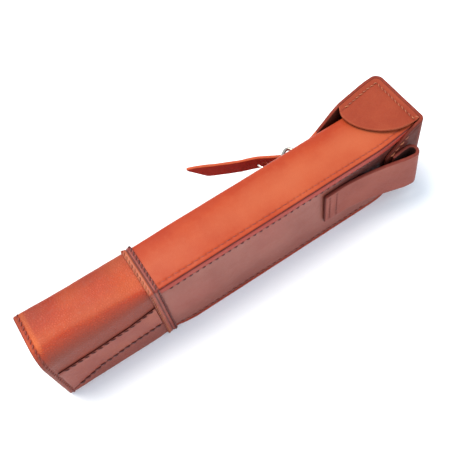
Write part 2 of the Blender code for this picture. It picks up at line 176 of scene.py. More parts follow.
def even(path, step):
    """The polyline resampled at an even step."""
    path = np.array(path, float)
    run = lengths(path)
    count = max(2, int(round(run[-1] / step)) + 1)
    marks = np.linspace(0, run[-1], count)
    return np.stack([np.interp(marks, run, path[:, k]) for k in range(path.shape[1])], axis=1)


def side_normals(path):
    """Left-hand unit normals of a plane path."""
    path = np.array(path, float)
    along = np.gradient(path, axis=0)
    along /= np.linalg.norm(along, axis=1)[:, None]
    return np.stack([-along[:, 1], along[:, 0]], axis=1)


def ripple(points, wave, seed=0.0):
    """Gentle unevenness from -1 to 1 over an array of points, with a typical length of wave millimetres."""
    flat = np.asarray(points, float).reshape(-1, 3) / wave + seed
    values = [noise.noise(Vector(p)) for p in flat]
    return np.array(values).reshape(np.asarray(points).shape[:-1])


def edge_columns(length, marks=(), rim=0.9, step=4.0):
    """Distances across a strip: close together at its rims and about each mark, step apart elsewhere."""
    fine = [0.0, 0.12 * rim, 0.4 * rim, rim, 1.6 * rim]
    cols = set(round(v, 3) for v in fine) | set(round(length - v, 3) for v in fine)
    for m in marks:
        cols |= {round(m + v, 3) for v in (-1.8, -1.0, -0.45, 0.0, 0.45, 1.0, 1.8)}
    cols = sorted(c for c in cols if 0 <= c <= length)
    filled = []
    for a, b in zip(cols, cols[1:]):
        count = max(1, int(math.ceil((b - a) / step)))
        filled += [a + (b - a) * k / count for k in range(count)]
    return np.array(filled + [cols[-1]])


# ---------------------------------------------------------------- meshes

def finish_mesh(name, verts, faces, mat, attributes=None, smooth=True):
    """A mesh object from millimetre points, with its faces turned outwards."""
    mesh = bpy.data.meshes.new(name)
    mesh.from_pydata((np.asarray(verts, float) * MM).tolist(), [], faces)
    for key, values in (attributes or {}).items():
        attribute = mesh.attributes.new(key, "FLOAT", "POINT")
        attribute.data.foreach_set("value", np.asarray(values, np.float32))
    bm = bmesh.new()
    bm.from_mesh(mesh)
    bmesh.ops.recalc_face_normals(bm, faces=bm.faces)
    bm.to_mesh(mesh)
    bm.free()
    if smooth:
        mesh.shade_smooth()
    mesh.materials.append(mat)
    obj = bpy.data.objects.new(name, mesh)
    bpy.context.scene.collection.objects.link(obj)
    return obj


def smallest(*gaps):
    """The least of several distances at each point."""
    return np.minimum.reduce(np.broadcast_arrays(*gaps))


def sheet_faces(rows, cols, wrap, joined=(0, -1)):
    """Faces of a grid of front points and of the back points that follow them.

    With wrap the columns close into a tube; joined are the rows at which front and back meet.
    """
    half = rows * cols
    front = np.arange(half).reshape(rows, cols)
    if wrap:
        front = np.hstack([front, front[:, :1]])
    quads = np.stack([front[:-1, :-1], front[:-1, 1:], front[1:, 1:], front[1:, :-1]], axis=-1)
    faces = []
    for a, b, c, d in quads.reshape(-1, 4).tolist():
        faces += [(a, b, c, d), (half + d, half + c, half + b, half + a)]
    for edge in [front[i] for i in joined] + ([] if wrap else [front[:, 0], front[:, -1]]):
        edge = edge.tolist()
        faces += [(a, b, half + b, half + a) for a, b in zip(edge, edge[1:])]
    return faces


def front_only(values, shape):
    """A front attribute of a two-sided sheet, with zeros on its back."""
    values = np.broadcast_to(values, shape).reshape(-1)
    return np.concatenate([values, np.zeros(len(values))])


def rounding(gap, rim):
    """Nearness to a cut edge, from 0 at the edge to 1, and the drop that rounds the edge off."""
    near = np.clip(gap / rim, 0, 1)
    return near, 1 - np.sqrt(np.clip(1 - (1 - near) ** 2, 0, 1))


def skin(name, outer, normal, thickness, rim_distance, mat, rim=0.9, relief=0.0, wrap=False, tone=0.0,
         inner_relief=0.0, dark=0.0):
    """A closed leather sheet: its grain face, the way it faces, its thickness and its distance to a cut edge.

    outer and normal are rows x columns x 3.  The sheet's edges are rounded by rim; relief moves
    the grain face out.  With wrap the columns close into a tube.
    """
    rows, cols = outer.shape[:2]
    near, drop = rounding(rim_distance, rim)
    drop = rim * drop
    front = outer + normal * (np.asarray(relief) - drop)[..., None]
    back = outer - normal * (thickness - drop + np.asarray(inner_relief))[..., None]
    cut = np.clip(1.15 - near, 0, 1).reshape(-1) ** 1.5
    attributes = {"cut": np.concatenate([cut, cut]),
                  "flesh": np.concatenate([np.zeros(rows * cols), 1 - 0.6 * cut]),
                  "tone": front_only(np.clip(tone, -1, 1), (rows, cols)),
                  "dark": front_only(dark, (rows, cols))}
    verts = np.vstack([front.reshape(-1, 3), back.reshape(-1, 3)])
    return finish_mesh(name, verts, sheet_faces(rows, cols, wrap), mat, attributes)


def piece(obj, body, slot, *nodes):
    """Attach an object to its body and hide the CAD nodes that it stands for; the slot argument is not used.
    """
    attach(obj, body)
    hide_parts(*nodes)


def strip_grid(path, low, high, fractions):
    """Points of a strip that stands on edge along a plan path, with fractions of its height as columns."""
    path = np.array(path, float)
    z = low[:, None] + (high - low)[:, None] * fractions[None, :]
    x = np.broadcast_to(path[:, :1], z.shape)
    y = np.broadcast_to(path[:, 1:2], z.shape)
    return np.stack([x, y, z], axis=-1)


def strap_grid(path, thickness, low, high, fractions):
    """Outer face of a strap that stands on edge along its centre line, and the way that face points."""
    left = side_normals(path)
    grid = strip_grid(path - left * thickness / 2, low, high, fractions)
    facing = np.zeros_like(grid)
    facing[..., :2] = -left[:, None, :]
    return grid, facing


def groove(distance, depth, width):
    """Depth of a pressed line at a distance from its middle, as a negative relief."""
    return -depth * np.exp(-(np.asarray(distance) / width) ** 2)


def dimples(run, offset, pitch, depth, width=0.9):
    """Relief of stitch holes along a seam: run along it, offset beside it."""
    phase = (np.asarray(run) + pitch / 2) % pitch - pitch / 2
    return -depth * np.exp(-(phase / width) ** 2 - (np.asarray(offset) / width) ** 2)


def hole_marks(run, offset, pitch, width=0.8):
    """Darkness of the stitch holes along a seam, from 0 to 1."""
    return -dimples(run, offset, pitch, 1.0, width)


def ring_faces(count, size, base=0, closed=False):
    """Quads between rings of size points that follow each other, with a cap on each end unless closed."""
    faces = []
    for i in range(count if closed else count - 1):
        a, b = base + i * size, base + (i + 1) % count * size
        faces += [(a + k, a + (k + 1) % size, b + (k + 1) % size, b + k) for k in range(size)]
    if not closed:
        end = base + (count - 1) * size
        faces += [tuple(range(base, base + size)), tuple(range(end, end + size))]
    return faces


def tube(name, points, radius, mat, sides=14, closed=False):
    """A smooth round wire along a line of points, with domed ends."""
    pts = [Vector(p) for p in points]
    count = len(pts)
    angles = [2 * math.pi * k / sides for k in range(sides)]
    rings = []
    across = last = None
    for i in range(count):
        before = pts[i - 1] if (i or closed) else pts[0]
        after = pts[(i + 1) % count] if (i < count - 1 or closed) else pts[-1]
        along = (after - before).normalized()
        if across is None:
            across = Vector((0, 0, 1)) if abs(along.z) < 0.9 else Vector((0, 1, 0))
        else:
            across.rotate(last.rotation_difference(along))
        across = (across - along * across.dot(along)).normalized()
        other = along.cross(across)
        last = along
        widths = [(0.0, 1.0)]
        if not closed and i == 0:
            widths = [(-0.6, 0.35), (-0.35, 0.8), (0.0, 1.0)]
        if not closed and i == count - 1:
            widths = [(0.0, 1.0), (0.35, 0.8), (0.6, 0.35)]
        for push, share in widths:
            middle = pts[i] + along * push * radius
            r = radius * share
            rings.append([middle + r * (math.cos(a) * across + math.sin(a) * other) for a in angles])
    verts = [p for ring in rings for p in ring]
    return finish_mesh(name, verts, ring_faces(len(rings), sides, closed=closed), mat)


# ---------------------------------------------------------------- stitches

STITCH_STATIONS = np.linspace(0, 1, 9)          # along a stitch
STITCH_ANGLES = np.arange(8) * math.pi / 4      # round a stitch


def stitches(row, path, facing, pitch, mat, slant=0.12, radius=THREAD_R, lead=0.0, fill=0.84, body="case"):
    """A row of saddle stitches along a line on the leather: a twisted two-ply bar between each pair of holes.

    path is a dense polyline on the surface; facing is its outward direction, one for all points or one each.
    """
    path = np.array(path, float)
    facing = np.broadcast_to(np.asarray(facing, float), path.shape)
    run = lengths(path)
    verts, faces, shade = [], [], []
    t = STITCH_STATIONS
    taper = 0.72 + 0.28 * np.sin(math.pi * np.clip(t, 0.04, 0.96))
    ply = 1 + 0.16 * np.cos(2 * STITCH_ANGLES + 9.0 * t[:, None])
    widths = (radius * taper[:, None] * ply)[..., None]
    across, upward = np.cos(STITCH_ANGLES), np.sin(STITCH_ANGLES)
    for n in range(int((run[-1] - lead) // pitch)):
        s = lead + n * pitch + pitch * (1 - fill) / 2 + pitch * fill * t
        jitter = noise.noise(Vector((n * 1.7, run[-1], 0.3)))
        centres, ups = (np.stack([np.interp(s, run, line[:, a]) for a in range(3)], axis=1)
                        for line in (path, facing))
        ups /= np.linalg.norm(ups, axis=1)[:, None]
        lift = radius * (0.75 + 0.12 * jitter) - radius * 2.6 * abs(2 * t - 1) ** 5
        centres += ups * lift[:, None]
        along = np.gradient(centres, axis=0)
        along /= np.linalg.norm(along, axis=1)[:, None]
        sides = np.cross(along, ups)
        sides /= np.linalg.norm(sides, axis=1)[:, None]
        rise = np.cross(sides, along)
        centres += sides * ((2 * t - 1) * slant * pitch * 0.5 * (1 + 0.4 * jitter))[:, None]
        faces += ring_faces(len(t), len(STITCH_ANGLES), base=len(verts))
        spokes = across[:, None] * sides[:, None] + upward[:, None] * rise[:, None]
        verts += list((centres[:, None] + widths * spokes).reshape(-1, 3))
        shade += [0.5 + 0.5 * jitter] * widths.size
    obj = finish_mesh("stitches_" + row, verts, faces, mat, {"tone": shade})
    piece(obj, body, "waxed_thread", "thread_" + row)


# ---------------------------------------------------------------- materials

def new_material(name):
    mat = bpy.data.materials.new(name)
    mat.use_nodes = True
    tree = mat.node_tree
    return mat, tree, tree.nodes["Principled BSDF"]


def add_node(tree, kind, values=None, links=None, **settings):
    """A shader node with its settings, input values and links to its inputs."""
    node = tree.nodes.new(kind)
    for key, value in settings.items():
        setattr(node, key, value)
    for key, value in (values or {}).items():
        node.inputs[key].default_value = value
    for key, socket in (links or {}).items():
        tree.links.new(socket, node.inputs[key])
    return node


def mix(tree, factor, first, second, blend="MIX"):
    """Colour mix; each argument is a socket or a value."""
    node = tree.nodes.new("ShaderNodeMix")
    node.data_type = "RGBA"
    node.blend_type = blend
    for index, value in ((0, factor), (6, first), (7, second)):
        if isinstance(value, bpy.types.NodeSocket):
            tree.links.new(value, node.inputs[index])
        elif index:
            node.inputs[index].default_value = (*value, 1.0)
        else:
            node.inputs[index].default_value = value
    return node.outputs[2]


def math_node(tree, operation, first, second=0.0, clamp=False):
    node = tree.nodes.new("ShaderNodeMath")
    node.operation = operation
    node.use_clamp = clamp
    for index, value in enumerate((first, second)):
        if isinstance(value, bpy.types.NodeSocket):
            tree.links.new(value, node.inputs[index])
        else:
            node.inputs[index].default_value = value
    return node.outputs[0]


def spread(tree, socket, low, high, to_low, to_high):
    """Map a value from one range to another, clamped."""
    node = add_node(tree, "ShaderNodeMapRange", {"From Min": low, "From Max": high, "To Min": to_low,
                                                 "To Max": to_high}, {"Value": socket})
    return node.outputs[0]


def attribute(tree, name):
    return add_node(tree, "ShaderNodeAttribute", attribute_name=name).outputs["Fac"]


def times(tree, first, second):
    return math_node(tree, "MULTIPLY", first, second)


def plus(tree, first, second, clamp=False):
    return math_node(tree, "ADD", first, second, clamp)


def noise_field(tree, where, scale, detail, roughness=0.5):
    return add_node(tree, "ShaderNodeTexNoise", {"Scale": scale, "Detail": detail, "Roughness": roughness},
                    {"Vector": where}).outputs["Fac"]


def raise_surface(tree, shader, height, strength, distance):
    """Bump the surface by a height field."""
    node = add_node(tree, "ShaderNodeBump", {"Strength": strength, "Distance": distance}, {"Height": height})
    tree.links.new(node.outputs["Normal"], shader.inputs["Normal"])


# Colour of the dark marks: stitch holes and pressed lines, and painted shade where the script paints it.
HOLE_AND_PAINTED_SHADE = (0.040, 0.010, 0.008)


def leather(name, base, deep, light, flesh, cut, roughness=0.45, coat=0.03, pebble=0.5, pebble_size=1.1,
            mottle=0.5, specular=0.13, bump=0.45):
    """Vegetable-tanned leather: a mottled grain side, a fibrous flesh side and burnished cut edges.

    Colours are linear.  The mesh attributes cut and flesh choose the side; tone lightens above 0 and darkens
    below 0, both for random tone and for painted highlights and painted shade, and dark marks stitch holes,
    pressed lines and painted shade.
    """
    mat, tree, shader = new_material(name)
    where = tree.nodes.new("ShaderNodeTexCoord").outputs["Object"]
    clouds = noise_field(tree, where, 38.0, 5.0, 0.55)
    spots = noise_field(tree, where, 260.0, 4.0, 0.6)
    cells = add_node(tree, "ShaderNodeTexVoronoi", {"Scale": 1000.0 / pebble_size}, {"Vector": where},
                     feature="DISTANCE_TO_EDGE").outputs["Distance"]
    fine = noise_field(tree, where, 2600.0, 3.0)
    fibre = noise_field(tree, where, 1500.0, 6.0, 0.7)
    valleys = spread(tree, cells, 0.0, 0.16, 1.0, 0.0)

    cloudy = spread(tree, clouds, 0.36, 0.64, 0.0, 1.0)
    grain_colour = mix(tree, times(tree, cloudy, mottle), base, deep)
    spotty = spread(tree, spots, 0.45, 0.75, 0.0, 0.4 * mottle)
    grain_colour = mix(tree, spotty, grain_colour, light)
    grain_colour = mix(tree, times(tree, valleys, 0.35 * pebble), grain_colour, deep)
    tone = attribute(tree, "tone")
    grain_colour = mix(tree, math_node(tree, "MAXIMUM", tone, 0.0), grain_colour, light)
    darker = math_node(tree, "MAXIMUM", times(tree, tone, -1.0), 0.0)
    grain_colour = mix(tree, darker, grain_colour, deep)
    flesh_colour = mix(tree, spread(tree, fibre, 0.35, 0.7, 0.0, 1.0), flesh, [0.55 * v for v in flesh])
    on_flesh = attribute(tree, "flesh")
    colour = mix(tree, on_flesh, grain_colour, flesh_colour)
    layered = mix(tree, spread(tree, spots, 0.35, 0.65, 0.0, 0.6), cut, [0.6 * v for v in cut])
    on_cut = spread(tree, attribute(tree, "cut"), 0.25, 0.9, 0.0, 1.0)
    colour = mix(tree, on_cut, colour, layered)
    colour = mix(tree, times(tree, attribute(tree, "dark"), 0.92), colour, HOLE_AND_PAINTED_SHADE)
    tree.links.new(colour, shader.inputs["Base Color"])

    rough = spread(tree, clouds, 0.3, 0.7, roughness - 0.05, roughness + 0.08)
    rough = plus(tree, rough, times(tree, on_flesh, 0.3))
    rough = plus(tree, rough, times(tree, valleys, 0.08), clamp=True)
    tree.links.new(rough, shader.inputs["Roughness"])
    shader.inputs["Coat Weight"].default_value = coat
    shader.inputs["Coat Roughness"].default_value = 0.28
    shader.inputs["Specular IOR Level"].default_value = specular

    pebbles = times(tree, spread(tree, cells, 0.0, 0.25, 0.0, 1.0), pebble)
    height = plus(tree, pebbles, times(tree, fine, 0.35))
    height = plus(tree, height, times(tree, times(tree, fibre, 1.6), on_flesh))
    height = plus(tree, height, times(tree, spots, 1.2))
    raise_surface(tree, shader, height, bump, 0.00022)
    return mat


def waxed_thread(name, dark, light):
    mat, tree, shader = new_material(name)
    where = tree.nodes.new("ShaderNodeTexCoord").outputs["Object"]
    fibres = noise_field(tree, where, 3200.0, 3.0)
    shade = times(tree, spread(tree, fibres, 0.35, 0.7, 0.3, 1.0), attribute(tree, "tone"))
    tree.links.new(mix(tree, shade, dark, light), shader.inputs["Base Color"])
    tree.links.new(spread(tree, fibres, 0.3, 0.7, 0.38, 0.6), shader.inputs["Roughness"])
    raise_surface(tree, shader, fibres, 0.4, 0.0001)
    return mat


def plated(name, colour, roughness):
    mat, tree, shader = new_material(name)
    where = tree.nodes.new("ShaderNodeTexCoord").outputs["Object"]
    wear = noise_field(tree, where, 420.0, 5.0, 0.65)
    scratch = noise_field(tree, where, 2400.0, 2.0)
    dulled = mix(tree, spread(tree, wear, 0.5, 0.72, 0.0, 0.8), colour, [0.55 * v for v in colour])
    tree.links.new(dulled, shader.inputs["Base Color"])
    tree.links.new(spread(tree, wear, 0.4, 0.7, roughness, roughness + 0.22), shader.inputs["Roughness"])
    shader.inputs["Metallic"].default_value = 1.0
    raise_surface(tree, shader, scratch, 0.15, 0.00005)
    return mat


FLESH = (0.12, 0.034, 0.020)
CUT = (0.19, 0.028, 0.016)
# The deep colour also serves the painted shade on the top's far edge and over the fold.
wrap_mat = leather("wrap_leather", (0.395, 0.056, 0.018), (0.31, 0.030, 0.011), (0.45, 0.105, 0.044), FLESH,
                   (0.33, 0.040, 0.018), roughness=0.42, coat=0.10, specular=0.06)
# The deep colour also serves the painted shade on the back wall near the mouth.
panel_mat = leather("panel_leather", (0.290, 0.080, 0.052), (0.14, 0.028, 0.020), (0.33, 0.022, 0.008), FLESH,
                    CUT, roughness=0.42, coat=0.10, mottle=0.25, specular=0.28)
# The deep colour is greyed to serve the painted shade down the back wall; the light colour serves the painted
# highlights on top.
toe_mat = leather("toe_leather", (0.390, 0.036, 0.009), (0.22, 0.050, 0.032), (0.56, 0.12, 0.030), FLESH,
                  CUT, roughness=0.38, coat=0.06, pebble=1.1, pebble_size=1.7, mottle=0.3, specular=0.15,
                  bump=0.95)
# The deep colour also serves the painted shade on the sewn tail.
lid_mat = leather("lid_leather", (0.31, 0.050, 0.020), (0.15, 0.022, 0.012), (0.42, 0.10, 0.042), FLESH,
                  (0.23, 0.034, 0.018), roughness=0.52)
# The light colour also serves the painted highlight along the free edge.
gusset_mat = leather("gusset_leather", (0.300, 0.046, 0.018), (0.22, 0.028, 0.013), (0.40, 0.090, 0.036),
                     FLESH, (0.36, 0.070, 0.030), roughness=0.56, mottle=0.35, pebble=0.8, bump=0.7)
strap_mat = leather("strap_leather", (0.42, 0.075, 0.026), (0.33, 0.045, 0.018), (0.52, 0.12, 0.045),
                    (0.40, 0.020, 0.009), (0.50, 0.085, 0.030), roughness=0.5)
# The loop's flesh side is painted near black, as painted shade inside the loop's opening.
loop_mat = leather("loop_leather", (0.270, 0.058, 0.036), (0.17, 0.030, 0.020), (0.34, 0.085, 0.05),
                   (0.045, 0.011, 0.008), (0.20, 0.032, 0.020), roughness=0.5, specular=0.22)
seam_mat = leather("seam_leather", (0.29, 0.062, 0.036), (0.19, 0.032, 0.022), (0.42, 0.11, 0.05), FLESH,
                   (0.20, 0.032, 0.018), roughness=0.42, coat=0.07, pebble=0.8, pebble_size=1.5,
                   specular=0.25)
disc_mat = leather("disc_leather", (0.22, 0.044, 0.028), (0.15, 0.028, 0.020), (0.28, 0.065, 0.04), FLESH,
                   CUT, roughness=0.55)
# The light colour also serves the painted highlight on the toe-side strip's top.
band_mat = leather("band_leather", (0.32, 0.048, 0.020), (0.17, 0.022, 0.016), (0.50, 0.13, 0.042), FLESH,
                   CUT, roughness=0.42, coat=0.1, specular=0.25)
dark_thread = waxed_thread("waxed_linen_dark", (0.060, 0.009, 0.008), (0.17, 0.030, 0.018))
red_thread = waxed_thread("waxed_linen_red", (0.13, 0.014, 0.009), (0.36, 0.060, 0.030))
# A lit copy of the one thread, as painted glints on the rows of the band's top, the lid's tail and the
# gusset.
glint_painted_thread = waxed_thread("waxed_linen_painted_glint", (0.20, 0.030, 0.013), (0.64, 0.21, 0.075))
nickel_mat = plated("nickel_plate", (0.50, 0.44, 0.37), 0.16)
# The prong's plate is a lighter copy of the nickel, a painted highlight for its bright tip.
prong_mat = plated("nickel_wire", (0.80, 0.78, 0.74), 0.2)


# ---------------------------------------------------------------- body

TOP_ROW = 3.5                      # top seam's distance from the back edge
SIDE_ROW = 8.0                     # upper side seam's distance below the top
FOOT_ROW = 5.0                     # lower side seam's height above the body's foot
FIRST_HOLE_X = 7.0
EDGE_LEATHER = 1.2                 # the wrap is skived to this along the top seam
PANEL_GAP = 0.2                    # between the back wall's top and the skived wrap
FOOT_SEAM_END_X = 190.0
SEAM_MARKS = np.arange(FIRST_HOLE_X - PITCH, MOUTH_X - 1.1, PITCH / 4)
BOX_START = [GAP, GAP + 0.15, GAP + 0.5, GAP + 0.9]
FAR = 99.0                         # away from every edge and seam
OUT, UP = (0.0, -1.0, 0.0), (0.0, 0.0, 1.0)


def wrap_ring(x, top_cols, foot_cols):
    """Section of the wrap at x.

    Each row is a point, its outward direction, its distance from a cut edge and that from the top's edge.
    """
    yb, zb = float(back_y(x)), float(foot_z(x, 0.0))
    width = HALF_W - yb
    ring = []
    for c in top_cols:
        y = yb + c * (width - FOLD_R) / (2 * HALF_W - FOLD_R)
        ring.append((x, y, TOP_Z, 0, 0, 1, y - yb, y - yb))
    for angle in np.radians(np.linspace(90, 0, 12)):
        n = (math.cos(angle), math.sin(angle))
        ring.append((x, HALF_W - FOLD_R + FOLD_R * n[0], TOP_Z - FOLD_R + FOLD_R * n[1], 0, *n, FAR, FAR))
    for z in np.linspace(TOP_Z - FOLD_R, zb + FOOT_R, 12)[1:-1]:
        ring.append((x, HALF_W, z, 0, 1, 0, FAR, FAR))
    for angle in np.radians(np.linspace(0, -90, 7)):
        n = (math.cos(angle), math.sin(angle))
        ring.append((x, HALF_W - FOOT_R + FOOT_R * n[0], zb + FOOT_R + FOOT_R * n[1], 0, *n, FAR, FAR))
    for c in foot_cols[::-1]:
        y = yb + c * (width - FOOT_R) / (2 * HALF_W - FOOT_R)
        spread_out = float(foot_spread(x, 0.0)) * (1 - float(ease(0, 12, y - yb)))
        ring.append((x, y - spread_out, float(foot_z(x, y)), 0, 0, -1, y - yb, FAR))
    return ring


def make_wrap():
    """Top, front and bottom of the box in one bent piece."""
    xs = np.unique(np.concatenate([BOX_START, SEAM_MARKS, [MOUTH_X - v for v in (1.0, 0.5, 0.15, 0)]]))
    top_cols = edge_columns(2 * HALF_W - FOLD_R, (TOP_ROW,), step=3.0)[:-4]
    foot_cols = edge_columns(2 * HALF_W - FOOT_R, (), step=5.0)[:-4]
    rings = np.array([wrap_ring(x, top_cols, foot_cols) for x in xs], float)
    grid, facing, cut, offset = rings[..., :3], rings[..., 3:6], rings[..., 6], rings[..., 7]
    x = grid[..., 0]
    cut = smallest(cut, x - GAP, MOUTH_X - x)
    side = offset - TOP_ROW
    free = facing[..., 2] > -0.5
    on_top = offset < 90
    crown = 0.9 * np.sin(np.clip(offset / (2 * HALF_W - FOLD_R), 0, 1) * math.pi) * on_top
    relief = (0.30 * ripple(grid, 42.0) + 0.10 * ripple(grid, 13.0, 5.0) + crown) * free
    relief += groove(side, 0.14, 0.9) + dimples(x - FIRST_HOLE_X, side, PITCH, 0.3)
    tone = 0.3 * ripple(grid, 60.0, 2.0) + 0.15 * ripple(grid, 14.0, 3.0) + groove(side, 0.15, 0.8)
    tone += 0.35 * ease(30, 130, x) - 0.2 * (1 - ease(0, 5, offset))
    # Painted light: a painted highlight in a band along the top's middle, and painted shade towards the top's
    # far edge and over the fold, front and bottom.
    tone -= groove(offset - 17, 0.3, 9) + 0.5 * ease(26, 40, offset) * on_top + 0.6 * ~on_top
    skived = (LEATHER - EDGE_LEATHER) * (1 - ease(LEATHER + 0.5, LEATHER + 3.0, offset))
    dark = 0.45 * hole_marks(x - FIRST_HOLE_X, side, PITCH) * on_top
    obj = skin("body_wrap_leather", grid, facing, LEATHER, cut, wrap_mat, rim=0.6, relief=relief,
               tone=tone, inner_relief=-skived, dark=dark)
    piece(obj, "case", "body_leather", "body_wrap")
    row = np.arange(FIRST_HOLE_X, MOUTH_X - 2, 1.0)
    path = np.stack([row, back_y(row) + TOP_ROW, np.full_like(row, TOP_Z - THREAD_SINK)], axis=1)
    stitches("top_edge", path, UP, PITCH, red_thread, radius=0.34, fill=0.8)


def make_panel():
    """Back wall between the wrap's two edges, with a raised welt sewn along its top."""
    xs = np.unique(np.concatenate([BOX_START, SEAM_MARKS, [MOUTH_X - 0.5, MOUTH_X]]))
    low, high = foot_z(xs) + LEATHER + GAP, np.full(len(xs), TOP_Z - EDGE_LEATHER - PANEL_GAP)
    span = float(high[0] - low[len(low) // 2])
    upper, lower = span - (SIDE_ROW - EDGE_LEATHER - PANEL_GAP), FOOT_ROW - LEATHER - GAP
    cols = edge_columns(span, (lower, upper), rim=0.7, step=3.5)
    cols = np.unique(np.concatenate([cols, [upper + v for v in (1.4, 2.2, 3.0, 3.8)]]))
    grid = strip_grid(np.stack([xs, back_y(xs)], axis=1), low, high, cols / span)
    facing = np.broadcast_to(OUT, grid.shape)
    x, z = grid[..., 0], grid[..., 2]
    down = TOP_Z - z
    cut = smallest(z - low[:, None], high[:, None] - z, x - GAP, MOUTH_X - x)
    row_z = foot_z(x) + FOOT_ROW
    grid[..., 1] -= foot_spread(x, z)
    welt = 1 - ease(SIDE_ROW - 1.0, SIDE_ROW - 0.4, down)
    relief = 0.55 * welt + 0.35 * ripple(grid, 45.0, 3.0) * (1 - welt) + 0.12 * ripple(grid, 12.0, 8.0)
    relief += welt * 0.14 * np.sin(down * 3.1)
    relief += groove(down - SIDE_ROW, 0.3, 0.7) + dimples(x - FIRST_HOLE_X, down - SIDE_ROW, PITCH, 0.4)
    relief += groove(z - row_z, 0.3, 0.8) + dimples(x - FIRST_HOLE_X, z - row_z, PITCH, 0.35)
    tone = groove(down - SIDE_ROW, 0.7, 0.8) + 0.25 * ripple(grid, 50.0, 6.0)
    # Painted shade on the back wall near the mouth, above the belt loop and below the welt; the wall is also
    # darker towards its foot.
    shaded = ease(MOUTH_X - 100, MOUTH_X - 60, x) * ease(20, 56, z)
    tone -= 0.9 * shaded + 0.25 * (1 - ease(6, 26, z))
    tone = tone * (1 - welt) + welt * (0.9 + 0.3 * ripple(grid, 16.0, 4.0))
    # Dark marks: the holes of both rows, the painted shade near the mouth, and a painted shade line along the
    # wall's top edge under the wrap.
    dark = np.maximum.reduce([0.9 * hole_marks(x - FIRST_HOLE_X, down - SIDE_ROW, PITCH),
                              0.35 * hole_marks(x - FIRST_HOLE_X, z - row_z, PITCH),
                              0.6 * shaded * (1 - welt), 0.35 * (1 - ease(0, 0.7, high[:, None] - z))])
    obj = skin("back_panel_leather", grid, facing, LEATHER, cut, panel_mat, rim=0.7, relief=relief,
               tone=tone, dark=dark)
    piece(obj, "case", "panel_leather", "back_panel")
    row = np.arange(FIRST_HOLE_X, SAG_START, 1.0)
    path = np.stack([row, back_y(row) + 0.2, np.full_like(row, TOP_Z - SIDE_ROW)], axis=1)
    stitches("side_upper", path, OUT, PITCH, dark_thread, radius=0.72, lead=PITCH / 2, fill=0.6, slant=0.3)
    row = np.arange(FIRST_HOLE_X, FOOT_SEAM_END_X, 1.0)
    lower = foot_z(row) + FOOT_ROW
    path = np.stack([row, back_y(row) - foot_spread(row, lower) + 0.2, lower], axis=1)
    stitches("side_lower", path, OUT, PITCH, red_thread, radius=0.5, fill=0.7, slant=0.3)


# ---------------------------------------------------------------- toe and joint band

def outline(x, grow=0.0, toe=True, segments=9):
    """Closed outline of the toe tube or the band at x, as (y, z, ny, nz) rows."""
    t = min(max((x + BAND_HALF) / (TOE_X + BAND_HALF), 0.0), 1.0) if toe else 0.0
    back = TOE_START_R + (TOE_BACK_R - TOE_START_R) * t ** TOE_WIDENING if toe else 0.5
    radii = (back, FOLD_R + (TOE_FRONT_R - FOLD_R) * t, FOOT_R, 1.0 + (TOE_FOOT_R - 1.0) * t)
    y0, y1 = -HALF_W - grow, HALF_W + TOE_FLARE * t * t + grow
    z0, z1 = (float(foot_z(x)) if toe else BAND_PINCH) - grow, TOP_Z + grow
    corners = ((y0, z1, 1, -1, 180), (y1, z1, -1, -1, 90), (y1, z0, -1, 1, 0), (y0, z0, 1, 1, -90))
    rows = []
    for (y, z, sy, sz, start), radius in zip(corners, radii):
        r = max(radius + grow, 0.1)
        for angle in np.radians(np.linspace(start, start - 90, segments)):
            n = (math.cos(angle), math.sin(angle))
            rows.append((y + sy * r + r * n[0], z + sz * r + r * n[1], *n))
    return rows


def fill_ring(rows, counts=(7, 12, 7, 12)):
    """The outline with points added along its straight sides."""
    rows = [np.array(r) for r in rows]
    size = len(rows) // 4
    ring = []
    for corner in range(4):
        ring += rows[corner * size:(corner + 1) * size]
        a, b = rows[(corner + 1) * size - 1], rows[(corner + 1) * size % len(rows)]
        ring += [a + (b - a) * k / counts[corner] for k in range(1, counts[corner])]
    return np.array(ring)


def tube_grid(xs, grow=0.0, toe=True):
    """Grid and facing of a closed skin with these stations along X."""
    rings = [fill_ring(outline(x, grow, toe)) for x in xs]
    grid = np.array([[(x, r[0], r[1]) for r in ring] for x, ring in zip(xs, rings)])
    facing = np.array([[(0.0, r[2], r[3]) for r in ring] for ring in rings])
    return grid, facing


def over_the_top(x, grow, toe, clear=1.2):
    """The part of the outline at x that stands clear of the table, as points and the way they face."""
    ring = fill_ring(outline(x, grow, toe, 13))
    start = int(np.argmin(ring[:, 1] + 0.001 * ring[:, 0]))
    ring = np.roll(ring, -start, axis=0)
    ring = ring[ring[:, 1] > clear]
    path = np.stack([np.full(len(ring), float(x)), ring[:, 0], ring[:, 1]], axis=1)
    facing = np.stack([np.zeros(len(ring)), ring[:, 2], ring[:, 3]], axis=1)
    return path, facing


TOE_ROW_X = TOE_X + 3.5


